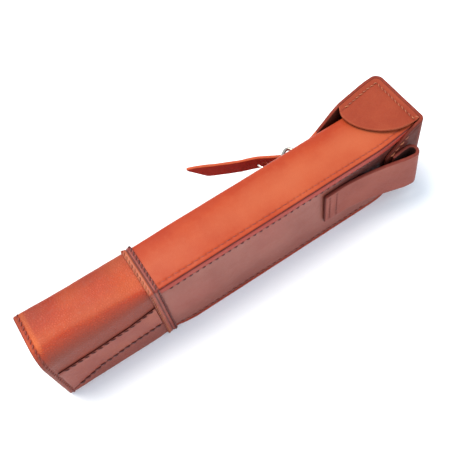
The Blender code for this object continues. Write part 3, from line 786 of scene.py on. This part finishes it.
def make_toe():
    """Rounded tube at the case's narrow end, stitched round its rim."""
    xs = np.array([TOE_X + v for v in (0, 0.12, 0.4, 1.0, 1.8, 2.5, 3.05, 3.5, 3.95, 4.5, 5.3)]
                  + list(np.linspace(TOE_X + 7, -BAND_HALF - 1, 44)) + [-3.0, -1.3, -0.8, -0.4, -GAP])
    grid, facing = tube_grid(xs)
    x = grid[..., 0]
    cut = smallest(x - TOE_X, -GAP - x)
    upward = np.clip(facing[..., 2], 0, 1)
    swell = ease(TOE_X, TOE_X + 30, x) * (1 - ease(-30, -6, x))
    dome = 1.5 * np.cos(np.clip(grid[..., 1] / HALF_W, -1, 1) * math.pi / 2) * upward
    relief = dome * swell + 0.4 * ripple(grid, 30.0, 1.0) * swell + 0.14 * ripple(grid, 9.0, 4.0)
    relief = relief * (grid[..., 2] > 2.0)
    relief += groove(x - TOE_ROW_X, 0.35, 0.9)
    # Painted light: a painted highlight along the top, painted shade down the back wall and towards the far
    # edge, and a painted highlight on top just inside the rim row.
    tone = 0.35 * ripple(grid, 26.0, 7.0) - groove(grid[..., 1] + 8, 0.3, 9) * upward
    tone -= 0.85 * np.clip(-facing[..., 1], 0, 1) ** 1.5
    tone += groove(x - TOE_ROW_X, 0.4, 0.9) - groove(x - TOE_ROW_X - 2.5, 0.6, 1.6) * upward
    dark = 0.3 * ease(2, 20, grid[..., 1])
    obj = skin("toe_tube_leather", grid, facing, LEATHER, cut, toe_mat, rim=1.1, relief=relief, wrap=True,
               tone=tone, dark=dark)
    piece(obj, "case", "body_leather", "toe_tube")
    path, facing = over_the_top(TOE_ROW_X, -0.15, True)
    stitches("toe_rim", path, facing, FINE_PITCH, red_thread, fill=0.7, slant=0.4, radius=0.5)


def make_disc():
    """Cupped leather disc inside the toe, with its flange against the tube."""
    wall = -LEATHER - GAP
    low_x, back_x, inner_x = DISC_LOW.x, DISC_HIGH.x, TOE_X + 8.0
    outer = fill_ring(outline(TOE_X, wall))
    centre = np.array([0.0, TOP_Z / 2 - 1])

    def bent(stations):
        return [[(x, r[0], r[1]) for r in fill_ring(outline(TOE_X, wall - inset))] for x, inset in stations]

    def flat(x, dish, shares):
        return [[(x + dish * (1 - share), *(centre + (r[:2] - centre) * share)) for r in outer]
                for share in shares]

    flange = [(low_x, 0.0), (low_x + 0.15, 0.0), (low_x + 1.0, 0.0), (back_x - 2.6, 0.0),
              (back_x - 1.2, 0.35), (back_x - 0.4, 1.1), (back_x, 2.6)]
    inside = [(inner_x, 5.2), (inner_x - 0.5, 3.6), (inner_x - 1.8, 2.8), (low_x + 1.0, 2.5),
              (low_x + 0.2, 2.2), (low_x, 1.7), (low_x, 0.6)]
    rings = flat(inner_x, 0.4, (0.02, 0.2, 0.45, 0.68)) + bent(inside)
    first_rim = len(rings) - 3
    rings += bent(flange) + flat(back_x, 0.3, (0.7, 0.45, 0.2, 0.02))
    verts = [p for ring in rings for p in ring]
    faces = ring_faces(len(rings), len(outer))
    cut = np.zeros((len(rings), len(outer)))
    cut[first_rim:first_rim + 5] = 1.0
    obj = finish_mesh("toe_end_disc_leather", verts, faces, disc_mat, {"cut": cut.reshape(-1)})
    piece(obj, "case", "disc_leather", "toe_end_disc")


SEAM_START_X, SEAM_END_X = -BAND_HALF - GAP, TOE_X + 5.5
SEAM_X = (SEAM_START_X, -28.0, -58.0, SEAM_END_X)
SEAM_TOP, SEAM_LOW = (54.0, 49.5, 48.0, 47.5), (23.5, 22.5, 19.5, 9.0)
SEAM_INSET = 1.5


def make_toe_seam():
    """Overlap strip on the toe's back wall, with a fine upper row and a bold lower row."""
    xs = np.array([SEAM_START_X - v for v in (0, 0.15, 0.5, 1.0)]
                  + list(np.arange(SEAM_START_X - 2.0, SEAM_END_X + 1.2, -1.2))
                  + [SEAM_END_X + v for v in (1.0, 0.5, 0.15, 0)])
    high, low = (np.interp(-xs, [-v for v in SEAM_X], edge) for edge in (SEAM_TOP, SEAM_LOW))
    span = 30.0
    cols = edge_columns(span, (SEAM_INSET, span - SEAM_INSET), rim=0.7, step=3.0)
    path = np.stack([xs, np.full(len(xs), -HALF_W - GAP - SEAM_LEATHER)], axis=1)
    grid = strip_grid(path, low, high, cols / span)
    facing = np.broadcast_to(OUT, grid.shape)
    x, z = grid[..., 0], grid[..., 2]
    up, down = high[:, None] - z, z - low[:, None]
    cut = smallest(up, down, SEAM_START_X - x, x - SEAM_END_X)
    relief = groove(up - SEAM_INSET, 0.25, 0.6) + groove(down - SEAM_INSET, 0.3, 0.8)
    relief += 0.2 * ripple(grid, 22.0, 9.0) + 0.12 * ripple(grid, 7.0, 2.0)
    tone = 0.3 * ripple(grid, 20.0, 3.0) - 0.15 * ease(-40, SEAM_END_X, x)
    # A painted shadow line along the strip's upper edge, and dark holes along the lower row.
    dark = -groove(up, 0.3, 0.4) - groove(down - SEAM_INSET, 0.3, 0.5)
    skived = 0.6 * (1 - ease(0, 1.8, smallest(up, down)))
    obj = skin("toe_seam_strip_leather", grid, facing, SEAM_LEATHER, cut, seam_mat, rim=0.35,
               relief=relief - skived, tone=tone, inner_relief=-skived, dark=dark)
    piece(obj, "case", "panel_leather", "toe_seam_strip")
    y = -HALF_W - GAP - SEAM_LEATHER + THREAD_SINK
    ends = (SEAM_START_X - 1.5, *SEAM_X[1:3], SEAM_END_X + 1.5)
    for row, edge, inset, radius, slant in (("toe_seam_upper", SEAM_TOP, -SEAM_INSET, 0.46, 0.2),
                                            ("toe_seam_lower", SEAM_LOW, SEAM_INSET, 0.85, 0.45)):
        path = even([(x, y, z + inset) for x, z in zip(ends, edge)], 1.0)
        stitches(row, path, OUT, PITCH, dark_thread, radius=radius, slant=slant, fill=0.74)


BAND_ROW = 3.0


def make_band():
    """Two narrow strips side by side over the joint, each sewn down its middle."""
    half = BAND_HALF
    xs = np.array([v - half for v in (0, 0.1, 0.3, 0.6)] + [-3.3, -3.0, -2.7, -2.2, -1.4, -0.8, -0.35, 0.0])
    xs = np.concatenate([xs, -xs[:-1][::-1]])
    grid, facing = tube_grid(xs, BAND_PINCH, toe=False)
    x = grid[..., 0]
    cut = half - np.abs(x)
    relief = groove(x, 0.7, 0.45) + groove(np.abs(x) - BAND_ROW, 0.25, 0.5) + 0.12 * ripple(grid, 8.0, 6.0)
    relief = np.where(grid[..., 2] > 1.0, relief, np.minimum(relief, 0))
    above = np.clip(facing[..., 2], 0, 1)
    # The toe-side strip is painted lighter where it faces up, a painted highlight on its top; the box-side
    # strip is darker, most of all on top.
    tone = np.where(x < 0, 0.4 * above - 0.1, -0.4 - 0.3 * above) + 0.4 * ripple(grid, 6.0, 2.0)
    obj = skin("joint_band_leather", grid, facing, BAND_LEATHER, cut, band_mat, rim=0.5, relief=relief,
               wrap=True, tone=tone, dark=-groove(x, 0.75, 0.55))
    piece(obj, "case", "body_leather", "joint_band")
    for row, x, mat in (("band_toe_side", -BAND_ROW, glint_painted_thread), ("band_box_side", BAND_ROW, dark_thread)):
        path, facing = over_the_top(x, BAND_PINCH - 0.2, False)
        stitches(row, path, facing, FINE_PITCH, mat, slant=0.45, radius=0.55)


# ---------------------------------------------------------------- lid

def flap_heights(x):
    """Edges of the lid's sewn tail, which narrows away from the mouth."""
    t = np.clip((x - FLAP_START_X) / (HINGE[0] - FLAP_START_X), 0, 1)
    half = FLAP_END_HALF + (LID_TOP / 2 - FLAP_CLEAR - FLAP_END_HALF) * t ** 0.85
    return LID_TOP / 2 - half, LID_TOP / 2 + half


def taper_heights(x):
    """Edges of the lid's front, which narrows from the full height to the strap."""
    t = ease(TAPER_START_X, TAPER_END_X, x)
    half = STRAP_W / 2 + (LID_TOP / 2 - STRAP_W / 2) * t ** 0.8
    mid = STRAP_Z + (LID_TOP / 2 - STRAP_Z) * t
    return mid - half, mid + half


def lid_front():
    """Centre line of the lid's front flap from its corner to the strap's root."""
    end_x = LID_END_X - STRAP_LEATHER / 2
    corner = arc((end_x - LID_CORNER_R, 28.2), LID_CORNER_R, 0, 78, 8)
    line = [corner[-1], (224.0, 33.2), (208.0, 30.6), (195.0, 28.4), (183.0, 27.4), (172.0, 27.9),
            (164.0, 29.6), (STRAP_ROOT[0] + 1.8, STRAP_ROOT[1] - 0.65), STRAP_ROOT]
    return corner[:-1] + spline(line, 2.0)


def lid_path():
    """Centre line of the lid's leather: sewn tail, hinge corner, end panel and front flap."""
    half = STRAP_LEATHER / 2
    end_x, back = LID_END_X - half, LID_BACK_Y + half
    tail_x = np.linspace(FLAP_START_X, HINGE[0] - 2.5, 12)
    tail = [(x, float(back_y(x)) - GAP - half) for x in tail_x]
    corner = arc((end_x - 3.0, back + 3.0), 3.0, -90, 0, 8)
    bend = spline([tail[-1], (HINGE[0] - 0.5, back + 0.1), corner[0]], 1.0)[1:-1]
    return tail + bend + corner + [(end_x, y) for y in (-13.0, -4.0, 5.0, 14.0, 22.0)] + lid_front()


LID_ROW = 3.0                      # tail seam's distance from its edge


def make_lid():
    """Lid strip with its sewn tail, bent round the case's back corner."""
    centre = even(lid_path(), 1.4)
    keep = (centre[:, 0] >= LID_CUT_X - 0.7) | (centre[:, 1] < 0)
    path = centre[keep]
    path[-1] = (LID_CUT_X, np.interp(LID_CUT_X, path[-4:, 0][::-1], path[-4:, 1][::-1]))
    on_tail = (path[:, 1] < -15) & (path[:, 0] < HINGE[0])
    on_front = (path[:, 1] > 15) & (path[:, 0] < TAPER_END_X)
    low, high = (np.select([on_tail, on_front], [tail, taper], whole) for tail, taper, whole in
                 zip(flap_heights(path[:, 0]), taper_heights(path[:, 0]), (0.0, LID_TOP)))
    cols = edge_columns(LID_TOP, (LID_ROW, LID_TOP - LID_ROW), rim=0.8, step=4.0)
    grid, facing = strap_grid(path, STRAP_LEATHER, low, high, cols / LID_TOP)
    z = grid[..., 2]
    run = lengths(path)
    cut = smallest(z - low[:, None], high[:, None] - z, run[:, None])
    relief = 0.3 * ripple(grid, 34.0, 11.0) + 0.1 * ripple(grid, 10.0, 1.0)
    relief += 0.6 * np.sin(np.clip((z - low[:, None]) / (high - low)[:, None], 0, 1) * math.pi) \
        * ease(190, 215, grid[..., 0])
    inset = smallest(high[:, None] - z, z - low[:, None]) - LID_ROW
    relief += groove(inset, 0.3, 0.8) * on_tail[:, None]
    tone = 0.3 * ripple(grid, 30.0, 4.0) + groove(inset, 0.4, 0.8) * on_tail[:, None]
    # Painted shade on the sewn tail: tone darkens it, and dark deepens it towards its top.
    tone = tone - 0.9 * (1 - ease(-20, -12, grid[..., 1]))
    dark = 0.8 * hole_marks(run[:, None], inset, PITCH) * on_tail[:, None]
    dark = np.maximum(dark, 0.5 * ease(20, 40, z) * on_tail[:, None])
    obj = skin("lid_leather", grid, facing, STRAP_LEATHER, cut, lid_mat, rim=0.8, relief=relief,
               tone=tone, dark=dark)
    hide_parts("lid_strip", "lid_hinge_flap")
    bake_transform(obj)

    tail_x = np.arange(FLAP_START_X + 4, HINGE[0] - 4, 1.0)
    y = back_y(tail_x) - GAP - STRAP_LEATHER + THREAD_SINK
    low, high = flap_heights(tail_x)
    for row, z in (("flap_upper", high - LID_ROW), ("flap_lower", low + LID_ROW)):
        path = even(np.stack([tail_x, y, z], axis=1), 1.0)
        stitches(row, path, OUT, PITCH, glint_painted_thread, radius=0.5, slant=0.3)


def gusset_edges():
    """Plan of a gusset: the side sewn inside the strip, and the free curve."""
    clear = STRAP_LEATHER / 2 + 0.08
    centre = np.array(lid_path())
    inside = centre + side_normals(centre) * clear
    sewn = [tuple(p) for p in inside if p[0] > 196.0 and p[1] > -16.0]
    sewn = [(LID_END_X - STRAP_LEATHER - GAP, -17.9)] + sewn
    free = spline([sewn[-1], (193.4, 19.0), (194.6, 9.0), (199.5, -0.5), (207.0, -8.8), (216.5, -14.8),
                   (226.0, -17.6), (235.0, -18.0), sewn[0]], 2.0)
    return even(sewn, 1.5), even(free, 1.5)


GUSSET_INSET = 4.2


def make_gusset(name, node, top_z, thickness, facing_z, dome):
    """A fan-shaped gusset, pressed down along its seam and free along its curved side."""
    sewn, free = gusset_edges()
    ring = np.vstack([sewn, free[1:-1]])
    free_flags = np.concatenate([np.zeros(len(sewn)), np.ones(len(free) - 2)])
    centre = np.array([220.0, 8.0])
    shares = [0.03, 0.2, 0.4, 0.55, 0.65, 0.72, 0.77, 0.81, 0.84, 0.87, 0.9, 0.93, 0.955, 0.975, 0.99, 1.0]
    grid = np.array([[(*(centre + (p - centre) * s), top_z) for p in ring] for s in shares])
    sewn_gap, free_gap = (np.array([[np.min(np.linalg.norm(line - p[:2], axis=1)) for p in row]
                                    for row in grid]) for line in (sewn, free))
    facing = np.broadcast_to((0.0, 0.0, facing_z), grid.shape)
    seam = sewn_gap - GUSSET_INSET
    relief = dome * ease(0, 14, sewn_gap) * (0.4 + 0.6 * ease(0, 12, free_gap))
    relief += groove(seam, 0.45, 0.9) + 0.3 * ripple(grid, 16.0, 12.0) * ease(2, 8, free_gap)
    relief += 0.55 * (1 - ease(0, 2.4, sewn_gap))
    if facing_z < 0:
        relief = np.minimum(relief, 0.0)
    # Tone is lighter along the free edge, a painted highlight, and darker along the seam.
    tone = 0.25 * ripple(grid, 14.0, 5.0) + groove(seam, 0.5, 0.8) + 0.4 * (1 - ease(0, 1.5, free_gap))
    rim_gap = smallest(sewn_gap, free_gap)
    rim_gap[-1] = 0
    rows, cols = grid.shape[:2]
    near, drop = rounding(rim_gap, 0.6)
    drop = drop * np.where(free_flags, 0.6, 0.15)
    front = grid + facing * (relief - drop)[..., None]
    back = grid - facing * (thickness - drop)[..., None]
    front[0, :, 2] = front[0, :, 2].mean()
    verts = np.vstack([front.reshape(-1, 3), back.reshape(-1, 3)])
    size = rows * cols
    innermost = [tuple(range(cols)), tuple(range(size, size + cols))]
    faces = sheet_faces(rows, cols, True, joined=(-1,)) + innermost
    edge = np.clip(1.15 - near, 0, 1).reshape(-1) ** 1.5 * np.tile(0.2 + 0.8 * free_flags, rows)
    attributes = {"cut": np.concatenate([edge, edge]), "flesh": np.repeat([0.0, 1.0], size),
                  "tone": front_only(tone, (rows, cols)),
                  "dark": front_only(-groove(seam, 0.35, 0.5), (rows, cols))}
    obj = finish_mesh(name, verts, faces, gusset_mat, attributes)
    piece(obj, "lid", "gusset_leather", node)


def make_gussets():
    make_gusset("gusset_top_leather", "lid_gusset_top", GUSSET_HIGH.z, THIN_LEATHER, 1, 1.1)
    make_gusset("gusset_bottom_leather", "lid_gusset_bottom", FOOT_LOW.z, THIN_LEATHER, -1, 0.0)
    centre = np.array(lid_path())
    inner = centre + side_normals(centre) * (STRAP_LEATHER / 2 + GAP + GUSSET_INSET)
    past_hinge = np.arange(len(centre)) > int(np.argmax(centre[:, 0] > HINGE[0] + 2))
    row = inner[past_hinge & (inner[:, 0] > 198) & (inner[:, 1] > -17)]
    row = np.vstack([[(239.0, -17.6), (236.0, -15.5)], row])
    row = even(spline([tuple(p) for p in even(row, 4.0)], 1.0), 0.8)
    path = np.column_stack([row, np.full(len(row), GUSSET_HIGH.z - 0.1)])
    stitches("gusset_top", path, UP, FINE_PITCH, glint_painted_thread, fill=0.8, slant=0.35, radius=0.5, body="lid")
    outer = centre - side_normals(centre) * (STRAP_LEATHER / 2 - THREAD_SINK)
    keep = (centre[:, 0] > 203) & (centre[:, 1] > -14)
    path = even(np.column_stack([outer[keep], np.full(keep.sum(), 4.0)]), 1.0)
    away = -side_normals(path[:, :2])
    facing = np.column_stack([away, np.zeros(len(away))])
    stitches("gusset_bottom", path, facing, FINE_PITCH, dark_thread, body="lid")


# ---------------------------------------------------------------- closing strap

def apply_modifiers(obj):
    """Keep the evaluated shape as the object's own mesh."""
    bpy.context.view_layer.update()
    evaluated = obj.evaluated_get(bpy.context.evaluated_depsgraph_get())
    mesh = bpy.data.meshes.new_from_object(evaluated)
    obj.modifiers.clear()
    obj.data = mesh


def cut_away(obj, cutters):
    """Boolean cuts, applied, with the cutters removed."""
    for cutter in cutters:
        cut = obj.modifiers.new("cut", "BOOLEAN")
        cut.operation = "DIFFERENCE"
        cut.solver = "EXACT"
        cut.object = cutter
    apply_modifiers(obj)
    for cutter in cutters:
        bpy.data.objects.remove(cutter, do_unlink=True)


POINT_START_X, POINT_LENGTH, POINT_BLUNT = 92.0, 14.0, 3.0
HOLE_RUNS, HOLE_R = (8.0, 16.5, 25.0), 1.3


def make_strap():
    """The strap with the end of the lid's taper, in one piece."""
    front = [p for p in lid_front() if p[0] < LID_CUT_X]
    start = (LID_CUT_X, np.interp(LID_CUT_X, *zip(*sorted(lid_front()[9:]))))
    line = [STRAP_ROOT, (147.4, 35.4), (139.0, 40.4), (131.0, 45.6), (123.0, 49.2), (115.5, 52.3),
            (98.0, 61.4), (90.3, 65.9), (78.0, 72.4)]
    path = even([start] + front[:-1] + spline(line, 2.0), 1.3)
    left = side_normals(path)
    low, high = taper_heights(path[:, 0])
    t = np.clip((POINT_START_X - path[:, 0]) / POINT_LENGTH, 0, 1)
    low = np.maximum(low, STRAP_Z - STRAP_W / 2 + (STRAP_W - POINT_BLUNT) * t)
    high = high - t * t
    cols = edge_columns(STRAP_W, (), rim=0.8, step=1.6)
    grid, facing = strap_grid(path, STRAP_LEATHER, low, high, cols / STRAP_W)
    z = grid[..., 2]
    run = lengths(path)
    cut = smallest(z - low[:, None], high[:, None] - z, (run[-1] - run)[:, None])
    obj = skin("closure_strap_leather", grid, facing, STRAP_LEATHER, cut, strap_mat, rim=0.8,
               relief=0.15 * ripple(grid, 9.0, 2.0), tone=0.3 * ripple(grid, 16.0, 9.0),
               inner_relief=0.15 * ripple(grid, 7.0, 8.0) - 0.15)
    root_run = run[int(np.argmin(np.linalg.norm(path - np.array(STRAP_ROOT), axis=1)))]
    cutters = []
    for hole in HOLE_RUNS:
        i = int(np.argmin(abs(run - root_run - hole)))
        spot, across = Vector((*path[i], STRAP_Z)), Vector((*left[i], 0))
        cutters.append(tube("cutter", [spot - 4 * across, spot + 4 * across], HOLE_R, strap_mat, sides=16))
    cut_away(obj, cutters)
    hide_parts("closure_strap")
    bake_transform(obj)


# ---------------------------------------------------------------- belt loop

LOOP_LEAN = 1.9                    # the loop's lower edge stands out further than its upper edge
LOOP_ROWS = {"loop_end": 4.0, "loop_inner": 10.5}


def make_loop():
    """Belt loop: sewn at one end, bowed out along the wall and turned back under itself at the mouth."""
    half = STRAP_LEATHER / 2
    line = [(LOOP_LOW.x, -HALF_W - GAP - half), (156.0, -22.9), (164.0, -22.95), (172.0, -23.4),
            (184.4, -24.9), (198.6, -27.5), (210.8, -30.3), (218.2, -32.1)]
    turn = arc((225.3, -28.35), 4.65, -100, 84, 14)
    settle = GAP + STRAP_LEATHER + GAP + half
    back = [(x, float(back_y(x)) - settle) for x in (220.0, 215.0, 210.0)]
    path = even(spline(line + [turn[0]], 2.0)[:-1] + turn + back, 1.1)
    left = side_normals(path)
    run = lengths(path)
    swing = ease(20, 75, run) * (1 - ease(run[-1] - 14, run[-1], run))
    low, high = LOOP_LOW.z - 0.8 * swing, np.full(len(path), LOOP_HIGH.z)
    height = LOOP_HIGH.z - LOOP_LOW.z
    cols = edge_columns(height, (), rim=0.8, step=2.2)
    grid, facing = strap_grid(path, STRAP_LEATHER, low, high, cols / height)
    z = grid[..., 2]
    grid[..., 1] -= LOOP_LEAN * swing[:, None] * (high[:, None] - z) / height
    cut = smallest(z - low[:, None], high[:, None] - z, run[:, None], (run[-1] - run)[:, None])
    pressed = sum(groove(run[:, None] - r, 0.15, 0.8) for r in LOOP_ROWS.values())
    relief = pressed + 0.25 * ripple(grid, 20.0, 3.0) + 0.1 * ripple(grid, 6.0, 7.0)
    tone = 0.35 * ripple(grid, 22.0, 8.0)
    holes = z - LOOP_LOW.z - 2
    dark = sum(0.9 * hole_marks(holes, run[:, None] - r, FINE_PITCH, 0.9) for r in LOOP_ROWS.values())
    dark = dark - groove(run[:, None], 0.5, 0.5)
    obj = skin("belt_loop_leather", grid, facing, STRAP_LEATHER, cut, loop_mat, rim=0.8, relief=relief,
               tone=tone, dark=dark)
    piece(obj, "case", "panel_leather", "belt_loop")
    for row, inset in LOOP_ROWS.items():
        i = int(np.argmin(abs(run - inset)))
        spot = path[i] - left[i] * (half - THREAD_SINK)
        path_up = even([(*spot, LOOP_LOW.z + 2), (*spot, LOOP_HIGH.z - 1.5)], 0.8)
        stitches(row, path_up, (*(-left[i]), 0.0), FINE_PITCH, red_thread, fill=0.6)


# ---------------------------------------------------------------- buckle

def make_buckle():
    """Bent wire frame and prong; the roller keeps its own shape."""
    bow = [(142.6, 29.6), (148.2, 34.4), (152.4, 36.3), (155.4, 34.4), (156.4, 31.0)]
    side = spline([HEEL, *bow, BAR], 0.9)
    corner = 1.6
    loop = []
    for sign in (-1, 1):
        points = side if sign < 0 else side[::-1]
        for i, (x, y) in enumerate(points):
            inset = corner if i in (0, len(points) - 1) else 0.0
            loop.append((x, y, STRAP_Z + sign * (FRAME_HALF - inset)))
    obj = tube("buckle_frame_wire", loop, WIRE_R, nickel_mat, closed=True)
    piece(obj, "buckle", "nickel", "buckle_frame")

    eye_r = WIRE_R + 0.25 + PRONG_R
    reach = Vector(PRONG_TIP) - Vector(HEEL)
    lean = math.degrees(math.atan2(reach.y, reach.x))
    tangent = lean + math.degrees(math.acos(eye_r / reach.length))
    eye = arc(HEEL, eye_r, tangent - 265, tangent, 24)
    shank = [tuple(Vector(eye[-1]).lerp(Vector(PRONG_TIP), t))
             for t in (0.1, 0.2, 0.35, 0.5, 0.65, 0.8, 0.92, 1.0)]
    obj = tube("buckle_prong_wire", [(*p, STRAP_Z) for p in eye + shank], PRONG_R, prong_mat, sides=12)
    piece(obj, "prong", "nickel_dark", "buckle_prong")
    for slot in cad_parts["buckle_roller"].material_slots:
        slot.material = nickel_mat


CHAPE_INSET = 2.2                  # stitch box's distance from the tab's long edges
CHAPE_PITCH = 3.4


def make_chape():
    """Folded leather tab that holds the buckle, with its box of stitches."""
    low = HALF_W + GAP + CHAPE_LEATHER / 2       # middle of the layer on the wall, and of the outer one
    fold_r = HEEL[1] - low
    high = low + CHAPE_LEATHER + GAP + 0.1
    line = [(CHAPE_LOW.x, low), (120.0, low), (132.0, low)] + arc(HEEL, fold_r, -90, 90, 16)
    line += spline([(134.5, HEEL[1] + fold_r - 0.5), (130.0, high + 0.9), (126.0, high), (117.0, high),
                    (CHAPE_LOW.x + 2, high)], 2.0)
    path = even(line, 0.9)
    run = lengths(path)
    z0, z1 = CHAPE_LOW.z, CHAPE_HIGH.z
    height = z1 - z0
    cols = edge_columns(height, (CHAPE_INSET, height - CHAPE_INSET), rim=0.6, step=1.5)
    foot, top = np.full(len(path), z0), np.full(len(path), z1)
    grid, facing = strap_grid(path, CHAPE_LEATHER, foot, top, cols / height)
    z = grid[..., 2]
    cut = smallest(z - z0, z1 - z, run[:, None], (run[-1] - run)[:, None])
    obj = skin("buckle_chape_leather", grid, facing, CHAPE_LEATHER, cut, lid_mat, rim=0.6,
               relief=0.1 * ripple(grid, 6.0, 1.0), tone=0.3 * ripple(grid, 12.0, 3.0))
    x0, x1, y0, y1 = HEEL[0] - 7, HEEL[0] + 6, HALF_W, HEEL[1] + 8
    slot_half = 1.9
    corners = [(x0, y0), (x1, y0), (x1, y1), (x0, y1)]
    verts = [(x, y, STRAP_Z + s * slot_half) for s in (-1, 1) for x, y in corners]
    faces = [(0, 1, 2, 3), (4, 5, 6, 7)] + [(k, (k + 1) % 4, 4 + (k + 1) % 4, 4 + k) for k in range(4)]
    cut_away(obj, [finish_mesh("cutter", verts, faces, lid_mat, smooth=False)])
    piece(obj, "case", "body_leather", "buckle_chape")
    row_y = high + CHAPE_LEATHER / 2 - 0.15
    x0, x1 = CHAPE_LOW.x + 4, 123.0
    z0, z1 = z0 + CHAPE_INSET, z1 - CHAPE_INSET
    path = even([(x, row_y, z) for x, z in ((x0, z0), (x1, z0), (x1, z1), (x0, z1), (x0, z0))], 0.5)
    stitches("chape", path, (0.0, 1.0, 0.0), CHAPE_PITCH, dark_thread, slant=0.0)


# ---------------------------------------------------------------- studio

def look_from(rotation, place):
    """World matrix of a camera from its right, up and back directions."""
    matrix = Matrix.Identity(4)
    for k, axis in enumerate(rotation):
        matrix.col[k][:3] = Vector(axis).normalized()
    matrix.translation = place
    return matrix


def area_light(name, place, target, size, power, colour):
    data = bpy.data.lights.new(name, "AREA")
    data.shape = "DISK"
    data.size = size
    data.energy = power
    data.color = colour
    obj = bpy.data.objects.new(name, data)
    obj.location = place
    obj.rotation_mode = "QUATERNION"
    obj.rotation_quaternion = (Vector(target) - Vector(place)).to_track_quat("-Z", "Y")
    bpy.context.scene.collection.objects.link(obj)


def make_studio():
    scene = bpy.context.scene
    scene.view_settings.view_transform = "Standard"
    camera = bpy.data.cameras.new("camera")
    camera.sensor_width = 36.0
    camera.lens = 53.4
    camera.clip_start, camera.clip_end = 0.01, 30.0
    holder = bpy.data.objects.new("camera", camera)
    right, up, back = (0.8350, -0.5395, -0.1095), (0.5209, 0.7098, 0.4745), (-0.178, -0.453, 0.8734)
    holder.matrix_world = look_from((right, up, back), (-0.017, -0.2271, 0.500))
    scene.collection.objects.link(holder)
    scene.camera = holder

    floor_mesh = bpy.data.meshes.new("floor")
    far = 6.0
    corners = [(-far, -far, 0), (far, -far, 0), (far, far, 0), (-far, far, 0)]
    floor_mesh.from_pydata(corners, [], [(0, 1, 2, 3)])
    mat, _, shader = new_material("floor")
    shader.inputs["Base Color"].default_value = (0.97, 0.97, 0.98, 1)
    shader.inputs["Roughness"].default_value = 0.7
    floor_mesh.materials.append(mat)
    floor = bpy.data.objects.new("floor", floor_mesh)
    scene.collection.objects.link(floor)

    world = bpy.data.worlds.new("studio")
    scene.world = world
    world.use_nodes = True
    sky = world.node_tree.nodes["Background"]
    sky.inputs["Color"].default_value = (0.76, 0.88, 1.0, 1.0)
    sky.inputs["Strength"].default_value = 0.95
    area_light("key", (-0.25, 0.6, 1.6), (0.05, 0.0, 0.0), 1.1, 33.0, (1.0, 0.94, 0.84))
    area_light("fill", (0.4, -1.3, 0.9), (0.05, 0.0, 0.03), 1.2, 7.0, (0.92, 0.96, 1.0))


for make in (make_wrap, make_panel, make_toe, make_disc, make_toe_seam, make_band, make_lid, make_gussets,
             make_strap, make_loop, make_buckle, make_chape, make_studio):
    make()
